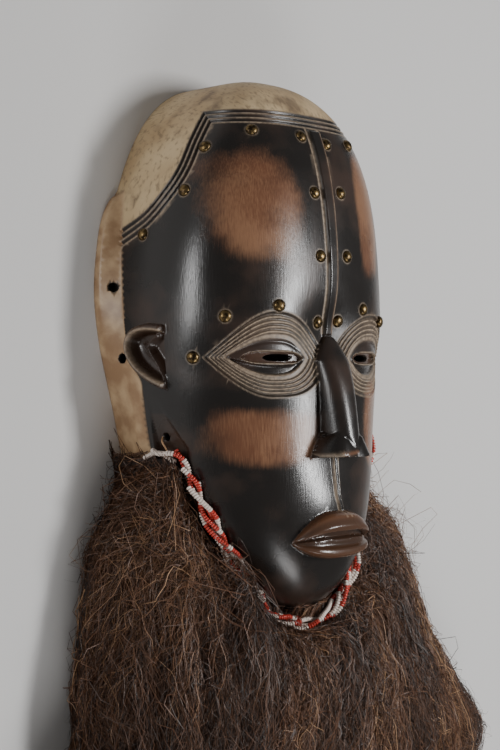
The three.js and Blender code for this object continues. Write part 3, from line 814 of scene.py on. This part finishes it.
def hole_cutters():
    """Bodies for the round holes of flange and jaw, from a centre, a direction, a radius and a length,
    and for the slits of the eyes."""
    cutters = []
    for side in (-1, 1):
        for centre, direction, radius, length in BORES:
            centre = np.array(centre, float) * [side, 1, 1]
            axis = unit(np.array(direction, float) * [side, 1, 1])
            ends = [centre - axis * length / 2, centre + axis * length / 2]
            points, _ = tube_points(ends, radius, BORE_SIDES)
            cutters.append(cutter("hole", [points[:BORE_SIDES], points[BORE_SIDES:]]))
        q = np.linspace(-1, 1, 15)
        x = side * SLIT["x"] + SLIT["half"] * q
        half = SLIT["height"] * (1 - q ** 4) + 0.3
        outline = np.concatenate([np.stack([x, EYE["y"] - half], 1),
                                  np.stack([x, EYE["y"] + half], 1)[::-1]])
        rings = [np.column_stack([outline, np.full(len(outline), z)]) for z in SLIT["cut"]]
        cutters.append(cutter("slit", rings))
    return cutters


def cut_holes(body):
    for tool in hole_cutters():
        step = body.modifiers.new("cut", "BOOLEAN")
        step.operation = "DIFFERENCE"
        step.solver = "EXACT"
        step.object = tool
    bpy.context.view_layer.update()
    graph = bpy.context.evaluated_depsgraph_get()
    finished = bpy.data.meshes.new_from_object(body.evaluated_get(graph))
    tools = [m.object for m in body.modifiers]
    body.modifiers.clear()
    body.data = finished
    for tool in tools:
        bpy.data.objects.remove(tool)


def build_body(material):
    params, faces = closed_grid()
    params, points, faces = split_long_edges(params, faces)
    body = make_mesh("mask_wood", points, faces, wood_masks(params), material)
    face_outwards(body)
    cut_holes(body)
    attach(body, "root")
    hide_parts("mask_body")


def build_nails(material):
    sides, rings = 20, 6
    for number, centre in enumerate(nail_points(), 1):
        outward = normals_at(centre[None])[0]
        across = unit(np.cross(outward, [0, 1, 0]))
        up = np.cross(outward, across)
        points = []
        for i in range(rings):
            a = math.pi / 2 * i / (rings - 1)
            radius, rise = NAIL_RADIUS * math.cos(a) + 0.02, 0.3 + NAIL_RISE * math.sin(a)
            turn = np.arange(sides)[:, None] * 2 * math.pi / sides
            points.append(centre + outward * rise + radius * (across * np.cos(turn) + up * np.sin(turn)))
        points.insert(0, points[0] - outward * 1.1)
        points = np.vstack(points)
        faces = ring_faces(rings + 1, sides)
        for first in (0, rings * sides):
            faces += [(first, first + j, first + j + 1) for j in range(1, sides - 1)]
        nail = make_mesh(f"nail_{number:02d}", points, faces, None, material)
        face_outwards(nail)
        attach(nail, "root")
        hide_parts(f"brass_nail_{number:02d}")


# Beads

GARLAND = ((-84, 30, 0), (-84, 46, 0), (-79, 64, 0), (-66, 75, 0), (-48, 83, 0), (-24, 85, 3),
           (0, 90, 5), (22, 92, 7), (40, 91, 3), (54, 83, 0), (67, 75, 0), (77, 74, 0), (83, 60, 0))
STRAND_TWIST, STRAND_OFFSET, STRAND_TURNS = 2.1, 4.6, 10
BEAD_RADIUS, BEAD_PITCH = 1.75, 1.75
LOOSE_TURNS, LOOSE_TWIST, LOOSE_LEAD = 6, 4.0, 1.5
LOOSE_START, TIGHT_STARTS = 62, (48, 14)


def jaw_point(x, z):
    low, high = float(CHIN_Y), -20.0
    for _ in range(40):
        y = (low + high) / 2
        if level(np.array([[x, y, z]], float))[0] > 1:
            low = y
        else:
            high = y
    return np.array([x, high, z])


def even_line(line, count):
    lengths = np.concatenate([[0], np.cumsum(np.linalg.norm(np.diff(line, axis=0), axis=1))])
    places = np.linspace(0, lengths[-1], count)
    return np.stack([np.interp(places, lengths, line[:, k]) for k in range(3)], -1)


def strand_line(phase, turns=STRAND_TURNS, twist=STRAND_TWIST):
    keys = [jaw_point(x, z) - [0, hang, 0] for x, z, hang in GARLAND]
    line = even_line(spline(keys, 400), 400)
    outward = normals_at(line)
    forward = np.gradient(line, axis=0)
    sideways = unit(np.cross(forward, outward))
    turn = phase + np.linspace(0, 2 * math.pi * turns, 400)[:, None]
    away = outward * np.maximum(STRAND_OFFSET + twist * np.sin(turn), BEAD_RADIUS + 0.2)
    return line + away + sideways * twist * np.cos(turn)


def bead_string(line, colours):
    """Beads threaded on a line: points, faces and the white share of each point."""
    length = np.linalg.norm(np.diff(line, axis=0), axis=1).sum()
    count = int(length / BEAD_PITCH)
    centres = even_line(line, count)
    forward = unit(np.gradient(centres, axis=0))
    sides, profile = 8, ((-0.9, 0.45), (-0.5, 0.95), (0.5, 0.95), (0.9, 0.45))
    points, faces, white = [], [], []
    for i, centre in enumerate(centres):
        across = unit(np.cross(forward[i], [0.3, 0.5, 0.8]))
        up = np.cross(forward[i], across)
        size = BEAD_RADIUS * rng.uniform(0.9, 1.08)
        first = len(points)
        for ahead, round_share in profile:
            for k in range(sides):
                a = 2 * math.pi * k / sides
                spoke = across * math.cos(a) + up * math.sin(a)
                middle = centre + forward[i] * ahead * BEAD_PITCH * 0.52
                points.append(middle + spoke * size * round_share)
        faces += ring_faces(len(profile), sides, first)
        white += [colours(i)] * (sides * len(profile))
    return np.array(points), np.array(faces), white


def bead_runs(seed, white_runs, red_runs):
    """Alternating runs of white and red beads of uneven length."""
    source = np.random.default_rng(seed)
    order = []
    while len(order) < 400:
        order += [1.0] * source.integers(*white_runs) + [0.0] * source.integers(*red_runs)
    return lambda i: order[i]


STRAY_RUNS = (
    (((-83, -52, 31.7), (-83.4, -48.5, 44.7), (-80.6, -53.8, 56.6)), 1.0),
    (((-81.6, -46.8, 59.5), (-79.6, -53, 61.9), (-77, -58, 62)), 0.0),
)
TIE_CORD = ((-84, -39, 48), (-88, -42, 52), (-86, -47, 54), (-83, -52, 53))


def stray_beads():
    """Short runs of beads on the wall of the jaw, beside the end of the string."""
    made = []
    for keys, white in STRAY_RUNS:
        line = spline(keys, 40)
        made.append(bead_string(line + 1.6 * normals_at(line), lambda i, share=white: share))
    return made


def build_beads(material):
    runs = (bead_runs(1, (2, 6), (5, 12)), bead_runs(2, (7, 14), (3, 7)))
    for number, phase in ((1, 0), (2, math.pi)):
        tight = strand_line(phase)[TIGHT_STARTS[number - 1]:]
        loose = strand_line(phase + LOOSE_LEAD, LOOSE_TURNS, LOOSE_TWIST)[LOOSE_START:]
        strings = [bead_string(tight, runs[number - 1]), bead_string(loose, runs[2 - number])]
        if number == 1:
            strings += stray_beads()
        first = np.cumsum([0] + [len(points) for points, _, _ in strings])
        points = np.vstack([string[0] for string in strings])
        faces = np.vstack([string[1] + start for string, start in zip(strings, first)])
        white = sum((string[2] for string in strings), [])
        strand = make_mesh(f"beads_{number}", points, faces, dict(white=white), material)
        face_outwards(strand)
        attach(strand, "root")
        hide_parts(f"bead_strand_{number}")


def build_cord(material):
    points, faces = tube_points(spline(TIE_CORD, 14), 0.6, 6)
    cord = make_mesh("tie_cord", points, faces, dict(shade=np.full(len(points), 0.9)), material)
    face_outwards(cord)
    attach(cord, "root")


# Beard

BEARD = dict(root_half=82, settling=0.22, root_y=-44, chin_drop=98, root_z=(58, 84), end=-352,
             relief=6, locks=13)
NEAR_HALF = ((-352, 262), (-290, 180), (-237, 123), (-205, 125), (-143, 118), (-99, 106),
             (-65, 88), (-44, 84))
FAR_HALF = ((-352, 262), (-300, 262), (-272, 258), (-234, 214), (-191, 176), (-148, 164), (-105, 148),
            (-83, 122), (-44, 84))
BEARD_HEIGHT = ((-352, 30), (-300, 78), (-250, 104), (-200, 107), (-142, 88), (-44, 70))
FIBRE_PIECES, FIBRES_PER_PIECE, FIBRE_STEPS = 4, 6000, 15
TUFTS_PER_PIECE, BEARD_REACH, PULL_BACK = 560, 264, 0.85
NEAR_STRING = dict(half=86, lowest=-175, below=4.5, behind=5, chin_half=50, side_z=42, escaping=0.02)
# Swings of the tufts and of single fibres: how many along the whole beard, and how wide
TUFT_SWAY = ((2.2, 5.5), (6.0, 2.4))
FRIZZ = ((7.0, 1.0), (14.0, 0.7), (24.0, 0.45))
TUFT_LIFT, FIBRE_LIFT, TUFT_LEAN = (-1.5, 4.5), (-1.5, 4.0), 0.04
WILD = dict(edge=0.44, at_edge=0.3, elsewhere=0.08, curl=3.0)
OVER_TUFT = dict(x=-47, half=7, lowest=-165, share=0.5, lift=(-3, 11, 8))


def beard_points(u, v):
    """The beard's surface; u past 0 and 1 runs down its side walls and v past 1 down its tip."""
    wide = 2 * u - 1
    side, low = np.clip(wide, -1, 1), clamp(v)
    middle = np.cos(side * math.pi / 2)
    shoulder = 8 * smooth((-0.55 - side) / 0.4)
    lock = np.abs(np.sin((side + 1) / 2 * BEARD["locks"] * math.pi)) - 0.6
    root_y = BEARD["root_y"] - BEARD["chin_drop"] * middle - shoulder
    y = mix(root_y, BEARD["end"] + 12 * (lock + 0.6), low)
    settled = smooth(low / BEARD["settling"])
    half = np.where(side < 0, along(NEAR_HALF, y), along(FAR_HALF, y))
    x = mix(BEARD["root_half"] * np.sin(side * math.pi / 2), side * half, settled)
    rounded = np.sqrt(1 - 0.92 * np.abs(side) ** 3)
    z = mix(mix(*BEARD["root_z"], middle ** 1.5), along(BEARD_HEIGHT, y) * rounded, settled)
    z = z + BEARD["relief"] * lock * np.minimum(low * 4, 1)
    over_side = clamp((np.abs(wide) - 1) / 0.1)
    over_tip = clamp((v - 1) / 0.06)
    x = x + 6 * over_side * np.minimum(low * 4, 1)
    return np.stack([x, y - 7 * over_tip, z * (1 - over_side) * (1 - over_tip)], -1)


def waves(count, lengths, source, cycles):
    """Smooth random sideways swings that grow along each fibre."""
    t = np.linspace(0, 1, FIBRE_STEPS)[None]
    total = np.zeros((count, FIBRE_STEPS))
    for number, size in cycles:
        phase = source.uniform(0, 2 * math.pi, (count, 1))
        rate = number * source.uniform(0.6, 1.5, (count, 1)) * lengths[:, None]
        swing = np.sin(2 * math.pi * np.minimum(rate, FIBRE_STEPS / 4) * t + phase)
        total += size * source.normal(0, 1, (count, 1)) * swing
    return total * np.minimum(t * 5, 1)


def surface_axes(u, v):
    """Unit directions across, along and out of the beard's surface."""
    step = 0.004
    across = unit(beard_points(u + step, v) - beard_points(u - step, v))
    down = unit(beard_points(u, v + step) - beard_points(u, v - step))
    outward = np.cross(across, down)
    return across, down, unit(outward * np.sign(outward[..., 2:] + 1e-9))


# Kinds of tuft: long ones, short ones, tangled ones at the jaw, and loose ones at the near edge
TUFT_KINDS = (
    dict(share=0.34, start=(-0.02, 0.5), length=(0.3, 0.6), place=(-0.05, 1.05), curl=0.8),
    dict(share=0.36, start=(-0.03, 0.8), length=(0.12, 0.3), place=(-0.05, 1.05), curl=1.6),
    dict(share=0.18, start=(-0.04, 0.12), length=(0.08, 0.2), place=(0.02, 0.98), curl=3.0),
    dict(share=0.12, start=(-0.04, 0.02), length=(0.1, 0.3), place=(-0.1, 0.06), curl=2.0),
)


def tufts(count, source):
    """Where each tuft starts and ends along the beard, its place across it, and how it curls."""
    kind = source.choice(len(TUFT_KINDS), count, p=[k["share"] for k in TUFT_KINDS])

    def drawn(key):
        return np.choose(kind, [source.uniform(*k[key], count) for k in TUFT_KINDS])

    start, length, place_across = drawn("start"), drawn("length"), drawn("place")
    end = np.minimum(start + length, source.uniform(0.94, 1.03, count))
    return start, end, place_across, np.choose(kind, [k["curl"] for k in TUFT_KINDS])


def fibre_lines(count, source):
    """Centre lines of loose fibres in tufts that follow the beard from root to tip, and their shades."""
    start, end, middle, tuft_curl = tufts(TUFTS_PER_PIECE, source)
    tuft_sway = waves(TUFTS_PER_PIECE, end - start, source, TUFT_SWAY)
    tuft_lift = source.uniform(*TUFT_LIFT, TUFTS_PER_PIECE)
    streaks = 0.5 + 0.5 * np.sin(19 * middle + 7 * start + 2 * np.sin(5 * middle + 3))
    tuft_shade = 0.5 * source.uniform(0, 1, TUFTS_PER_PIECE) + 0.5 * streaks
    tuft_lean = source.normal(0, TUFT_LEAN, TUFTS_PER_PIECE)
    tuft_lean = tuft_lean - TUFT_LEAN * (middle < 0.35) * (start < 0.3)
    own = source.integers(0, TUFTS_PER_PIECE, count)
    length = (end - start)[own] * source.uniform(0.6, 1.1, count)
    begin = start[own] + source.uniform(0, 0.05, count)
    t = np.linspace(0, 1, FIBRE_STEPS)
    v = begin[:, None] + length[:, None] * t
    spread = source.normal(0, 0.012, count) + source.normal(0, 0.006, count)
    u = middle[own][:, None] + spread[:, None] * (0.6 + 0.9 * t) + tuft_lean[own][:, None] * t
    lines = beard_points(u, v)
    across, down, outward = surface_axes(u, v)
    wild = np.where(np.abs(middle[own] - 0.5) > WILD["edge"], WILD["at_edge"], WILD["elsewhere"])
    stray = np.where(source.uniform(0, 1, count) < wild, WILD["curl"], 1.0)[:, None]
    curl = (tuft_curl[own] * source.uniform(0.5, 1.5, count))[:, None] * stray
    sideways = tuft_sway[own] + 1.15 * curl * waves(count, length, source, FRIZZ)
    lift = source.uniform(*FIBRE_LIFT, count)[:, None] + tuft_lift[own][:, None]
    lift = lift * np.minimum(v * 9 + 0.25, 1)
    lift = lift + 0.9 * curl * waves(count, length, source, FRIZZ)
    forward = 0.9 * curl * waves(count, length, source, FRIZZ)
    lines = lines + across * sideways[..., None] + outward * lift[..., None] + down * forward[..., None]
    lines[..., 1] += 120 * np.maximum(-v, 0)
    shade = clamp(0.55 * tuft_shade[own] + 0.45 * source.uniform(0, 1, count))
    return lines, shade


def clear_of_beads(lines, source):
    """Keeps nearly all fibres below the string of beads; one tuft falls over it on the right jaw."""
    string = (strand_line(0) + strand_line(math.pi)) / 2
    order = np.argsort(string[:, 0])
    x, y, z = lines[..., 0], lines[..., 1], lines[..., 2]
    edge = np.interp(x, string[order, 0], string[order, 1]) - NEAR_STRING["below"]
    front = np.interp(x, string[order, 0], string[order, 2]) - NEAR_STRING["behind"]
    held = source.uniform(0, 1, len(lines)) > NEAR_STRING["escaping"]
    close = (np.abs(x) < NEAR_STRING["half"]) & (y > NEAR_STRING["lowest"]) & held[:, None]
    close &= z > np.where(np.abs(x) < NEAR_STRING["chin_half"], front, NEAR_STRING["side_z"])
    lines[..., 1] = np.where(close, np.minimum(y, edge), y)
    root_x, root_y, _ = lines[:, 0].T
    over = (np.abs(root_x - OVER_TUFT["x"]) < OVER_TUFT["half"]) & (root_y > OVER_TUFT["lowest"])
    over &= source.uniform(0, 1, len(lines)) < OVER_TUFT["share"]
    lines[over] += OVER_TUFT["lift"]
    return lines


def keep_in_place(lines, lowest=0.6):
    """Keeps fibres above the floor, within the beard's reach and outside the wood."""
    lines[..., 2] = np.maximum(lines[..., 2], lowest)
    past = np.maximum(np.abs(lines[..., 0]) - BEARD_REACH, 0)
    lines[..., 0] -= np.sign(lines[..., 0]) * past * PULL_BACK
    flat = lines.reshape(-1, 3)
    inside = (level(flat) < 1.02) & (flat[:, 1] > CHIN_Y) & (flat[:, 1] < CROWN_Y)
    push = normals_at(flat[inside])
    for _ in range(6):
        still = level(flat[inside]) < 1.02
        flat[inside] += push * (3.0 * still)[:, None]
    return flat.reshape(lines.shape)


def ribbons(lines, width, source):
    """Thin tapering strips along lines, each turned its own way."""
    count, steps, _ = lines.shape
    forward = np.gradient(lines, axis=1)
    helper = source.normal(0, 0.55, (count, 1, 3)) + [-0.3, 0, 0.9]
    across = unit(np.cross(forward, helper))
    taper = np.interp(np.linspace(0, 1, steps), [0, 0.75, 1], [1, 0.8, 0.15])[None, :, None]
    half = across * taper * width[:, None, None] / 2
    points = np.stack([lines - half, lines + half], 2).reshape(-1, 3)
    first = (np.arange(count)[:, None] * steps + np.arange(steps - 1)).reshape(-1) * 2
    return points, np.stack([first, first + 1, first + 3, first + 2], 1)


def build_mass(material):
    """The dense inner mass of the beard, with fine locks, closed underneath; its near-black colour is
    painted shade deep among the fibres.
    """
    columns, rows = 220, 70
    u, v = np.meshgrid(np.linspace(-0.1, 1.1, columns), np.linspace(0, 1.06, rows), indexing="ij")
    top = beard_points(u, v)
    locks = np.sin(2 * math.pi * (36 * u + 0.7 * np.sin(9 * v + 13 * u)))
    top[..., 2] -= (3 - 1.2 * locks) * (top[..., 2] > 6)
    bottom = top * [1, 1, 0]
    bottom[..., 0] = np.clip(bottom[..., 0], top[0, :, 0], top[-1, :, 0])
    points = np.concatenate([keep_in_place(top, 0), keep_in_place(bottom, 0)]).reshape(-1, 3)
    grid = np.arange(columns * rows).reshape(columns, rows)
    a, b, c, d = grid[:-1, :-1], grid[1:, :-1], grid[1:, 1:], grid[:-1, 1:]
    faces = [np.stack([a, d, c, b], -1).reshape(-1, 4)]
    faces.append(np.stack([a, b, c, d], -1).reshape(-1, 4) + columns * rows)
    rim = np.concatenate([grid[:, 0], grid[-1, 1:], grid[-2::-1, -1], grid[0, -2::-1]])
    rim_under = rim + columns * rows
    faces.append(np.stack([rim[:-1], rim[1:], rim_under[1:], rim_under[:-1]], -1))
    mass = make_mesh("beard_mass", points, np.vstack(faces), None, material)
    face_outwards(mass)
    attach(mass, "root")
    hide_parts("beard")


def build_fibres(material):
    for number in range(1, FIBRE_PIECES + 1):
        source = np.random.default_rng(100 + number)
        lines, shade = fibre_lines(FIBRES_PER_PIECE, source)
        lines = keep_in_place(clear_of_beads(lines, source))
        width = source.uniform(0.24, 0.5, len(lines))
        points, faces = ribbons(lines, width, source)
        shade = np.repeat(shade, 2 * FIBRE_STEPS)
        piece = make_mesh(f"beard_fibres_{number}", points, faces, dict(shade=shade), material)
        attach(piece, "root")


# Materials

def material(name):
    made = bpy.data.materials.new(name)
    made.use_nodes = True
    tree = made.node_tree
    return made, tree, tree.nodes["Principled BSDF"]


def feed(tree, node, inputs):
    """Sets inputs of a node, each to a plain value or to the output of another node."""
    for key, value in inputs.items():
        if isinstance(value, bpy.types.NodeSocket):
            tree.links.new(value, node.inputs[key])
        else:
            node.inputs[key].default_value = value


def add(tree, kind, settings=None, inputs=None):
    node = tree.nodes.new(kind)
    for key, value in (settings or {}).items():
        setattr(node, key, value)
    feed(tree, node, inputs or {})
    return node


def blend_colour(tree, share, a, b):
    """A colour between two colours; each is either numbers or the output of a node."""
    inputs = {0: share}
    for index, value in ((6, a), (7, b)):
        inputs[index] = (*value, 1) if isinstance(value, tuple) else value
    return add(tree, "ShaderNodeMix", dict(data_type="RGBA"), inputs).outputs[2]


def blend_value(tree, share, a, b):
    return add(tree, "ShaderNodeMix", dict(data_type="FLOAT"), {0: share, 2: a, 3: b}).outputs[0]


def remap(tree, value, low, high, to_low=0.0, to_high=1.0):
    inputs = dict(enumerate((value, low, high, to_low, to_high)))
    return add(tree, "ShaderNodeMapRange", dict(interpolation_type="SMOOTHSTEP"), inputs).outputs[0]


def combine(tree, operation, a, b):
    return add(tree, "ShaderNodeMath", dict(operation=operation), {0: a, 1: b}).outputs[0]


def weighted(tree, a, share_a, b, share_b):
    """The sum of two values, each times its share."""
    parts = [combine(tree, "MULTIPLY", *part) for part in ((a, share_a), (b, share_b))]
    return combine(tree, "ADD", *parts)


def noise(tree, scale, detail=3.0, stretch=(1, 1, 1), turn=0.0):
    places = add(tree, "ShaderNodeTexCoord").outputs["Object"]
    stretched = {0: places, "Rotation": (0, 0, turn), "Scale": stretch}
    mapping = add(tree, "ShaderNodeMapping", inputs=stretched)
    inputs = {"Vector": mapping.outputs[0], "Scale": scale, "Detail": detail}
    return add(tree, "ShaderNodeTexNoise", inputs=inputs).outputs[0]


def mask(tree, name):
    return add(tree, "ShaderNodeAttribute", dict(attribute_name=name)).outputs["Fac"]


PATINA, PATINA_BROWN = (0.009, 0.007, 0.006), (0.034, 0.019, 0.013)
WORN, WORN_LIGHT = (0.125, 0.052, 0.027), (0.21, 0.105, 0.055)
BARE, BARE_LIGHT, BARE_STAIN = (0.38, 0.26, 0.135), (0.58, 0.44, 0.26), (0.13, 0.085, 0.05)
FLANGE, FLANGE_LIGHT = (0.28, 0.165, 0.085), (0.48, 0.33, 0.19)
# The pale dust colour also paints highlights on the eye slits and a reflection at the nose's base.
DUST_AND_HIGHLIGHT, EDGE_BROWN = (0.42, 0.32, 0.225), (0.12, 0.06, 0.031)


def face_colour(tree, grain, patches, fine):
    """Dark patina, rubbed through to reddish wood, with brown edges and painted highlights; also gives
    the share of dust and pale painted highlights.
    """
    colour = blend_colour(tree, remap(tree, patches, 0.45, 0.7), PATINA, PATINA_BROWN)
    streaked = weighted(tree, grain, 0.4, patches, 0.6)
    worn_colour = blend_colour(tree, remap(tree, streaked, 0.38, 0.62), WORN, WORN_LIGHT)
    ragged = combine(tree, "ADD", remap(tree, grain, 0.25, 0.75, -0.07, 0.07),
                     remap(tree, noise(tree, 34, 6), 0.3, 0.7, -0.24, 0.2))
    worn_share = remap(tree, combine(tree, "ADD", mask(tree, "worn"), ragged), 0.15, 1.05)
    colour = blend_colour(tree, worn_share, colour, worn_colour)
    brown = blend_colour(tree, remap(tree, grain, 0.3, 0.7), WORN, EDGE_BROWN)
    colour = blend_colour(tree, mask(tree, "brown"), colour, brown)
    # Share of the pale colour: dust, and painted highlights and a painted reflection.
    dust_and_highlight_share = combine(tree, "MULTIPLY", mask(tree, "dust_and_highlights"), remap(tree, fine, 0.3, 0.65, 0.5, 1.0))
    return blend_colour(tree, dust_and_highlight_share, colour, DUST_AND_HIGHLIGHT), dust_and_highlight_share


def bare_colour(tree, patches):
    """Pale wood of the cap with oblique scratches and dark stains."""
    scratches = noise(tree, 210, 5, (3.0, 0.25, 1.5), 0.8)
    colour = blend_colour(tree, remap(tree, patches, 0.3, 0.7), BARE, BARE_LIGHT)
    colour = blend_colour(tree, remap(tree, scratches, 0.5, 0.7, 0.0, 0.6), colour, BARE_STAIN)
    stain = combine(tree, "MULTIPLY", mask(tree, "stain"), 0.14)
    blots = combine(tree, "ADD", noise(tree, 60, 9), stain)
    return blend_colour(tree, remap(tree, blots, 0.53, 0.8, 0.0, 0.8), colour, BARE_STAIN)


def wood_material():
    made, tree, shader = material("carved_wood")
    grain = noise(tree, 520, 4, (2.8, 0.2, 2.8))
    patches = noise(tree, 22, 4)
    fine = noise(tree, 420, 3)
    colour, dust_and_highlight_share = face_colour(tree, grain, patches, fine)
    colour = blend_colour(tree, mask(tree, "bare"), colour, bare_colour(tree, patches))
    tan = blend_colour(tree, remap(tree, noise(tree, 70, 5), 0.35, 0.7), FLANGE, FLANGE_LIGHT)
    colour = blend_colour(tree, mask(tree, "flange"), colour, tan)
    rough = blend_value(tree, dust_and_highlight_share, remap(tree, patches, 0.3, 0.7, 0.22, 0.33), 0.75)
    rough = blend_value(tree, mask(tree, "bare"), rough, 0.62)
    rough = blend_value(tree, mask(tree, "flange"), rough, 0.4)
    height = weighted(tree, grain, 0.7, fine, 0.3)
    relief = add(tree, "ShaderNodeBump", inputs=dict(Strength=0.22, Distance=0.0005, Height=height))
    feed(tree, shader, {"Base Color": colour, "Roughness": rough, "Normal": relief.outputs[0]})
    return made


def brass_material():
    made, tree, shader = material("old_brass")
    tarnish = remap(tree, noise(tree, 500, 3), 0.4, 0.65)
    colour = blend_colour(tree, tarnish, (0.17, 0.115, 0.05), (0.035, 0.024, 0.015))
    feed(tree, shader, {"Base Color": colour, "Metallic": 1.0, "Roughness": 0.36})
    return made


def bead_material():
    made, tree, shader = material("glass_beads")
    colour = blend_colour(tree, mask(tree, "white"), (0.46, 0.045, 0.03), (0.72, 0.62, 0.55))
    feed(tree, shader, {"Base Color": colour, "Roughness": 0.22})
    return made


FIBRE_DARK, FIBRE_MID, FIBRE_PALE = (0.016, 0.007, 0.004), (0.14, 0.06, 0.028), (0.46, 0.27, 0.14)


def fibre_material():
    made, tree, shader = material("plant_fibre")
    shade = mask(tree, "shade")
    dark = blend_colour(tree, remap(tree, shade, 0.2, 0.8), FIBRE_DARK, FIBRE_MID)
    colour = blend_colour(tree, remap(tree, shade, 0.72, 0.95), dark, FIBRE_PALE)
    feed(tree, shader, {"Base Color": colour, "Roughness": 0.5})
    return made


def painted_shade_mass_material():
    made, tree, shader = material("beard_mass")
    strands = remap(tree, noise(tree, 260, 3, (2.5, 0.25, 2.5)), 0.35, 0.7)
    # Near black: painted shade deep in the beard between the fibres.
    colour = blend_colour(tree, strands, (0.005, 0.0025, 0.002), (0.03, 0.014, 0.008))
    feed(tree, shader, {"Base Color": colour, "Roughness": 0.95})
    return made


# Floor, lights and camera

def floor():
    size = 20
    corners = [(-size, -size, 0), (size, -size, 0), (size, size, 0), (-size, size, 0)]
    mesh = bpy.data.meshes.new("floor")
    mesh.from_pydata(corners, [], [(0, 1, 2, 3)])
    made, tree, shader = material("floor")
    feed(tree, shader, {"Base Color": (0.62, 0.61, 0.60, 1), "Roughness": 0.9})
    mesh.materials.append(made)
    link(bpy.data.objects.new("floor", mesh))


def light(name, position, target, size, power):
    data = bpy.data.lights.new(name, "AREA")
    data.shape = "RECTANGLE"
    data.size, data.size_y = size
    data.energy = power
    obj = link(bpy.data.objects.new(name, data))
    obj.location = position
    direction = Vector(target) - Vector(position)
    obj.rotation_euler = direction.to_track_quat("-Z", "Y").to_euler()


# Lights: name, place, target and size in metres, and power
LIGHTS = (
    ("left_window", (-1.4, 0.27, 0.09), (0, 0.1, 0.08), (0.42, 0.16), 6),
    ("face_window", (0.58, 0.18, 1.35), (0, 0.08, 0.1), (0.42, 0.2), 19),
    ("foot_window", (-0.3, -1.5, 1.3), (0, -0.1, 0.05), (1.0, 0.6), 15),
)


def studio():
    floor()
    for values in LIGHTS:
        light(*values)
    world = bpy.data.worlds.new("studio")
    bpy.context.scene.world = world
    world.use_nodes = True
    tree = world.node_tree
    feed(tree, tree.nodes["Background"], {"Color": (0.80, 0.79, 0.78, 1), "Strength": 0.25})


CAMERA_LENS, CAMERA_ASIDE, CAMERA_AWAY = 72, 0.02925, 1.035


def camera():
    """Looks down at 45 degrees from the mask's right, with the crown up in the picture."""
    data = bpy.data.cameras.new("camera")
    data.lens = CAMERA_LENS
    obj = link(bpy.data.objects.new("camera", data))
    slant = math.sqrt(0.5)
    right, back = Vector((slant, 0, slant)), Vector((-slant, 0, slant))
    place_of_camera = right * CAMERA_ASIDE + back * CAMERA_AWAY + Vector((0, EYE_LEVEL * MM, 0))
    turn = Matrix((right, Vector((0, 1, 0)), back)).transposed()
    obj.matrix_world = Matrix.Translation(place_of_camera) @ turn.to_4x4()
    bpy.context.scene.camera = obj


fibre = fibre_material()
build_body(wood_material())
build_nails(brass_material())
build_beads(bead_material())
build_cord(fibre)
build_fibres(fibre)
build_mass(painted_shade_mass_material())
studio()
camera()
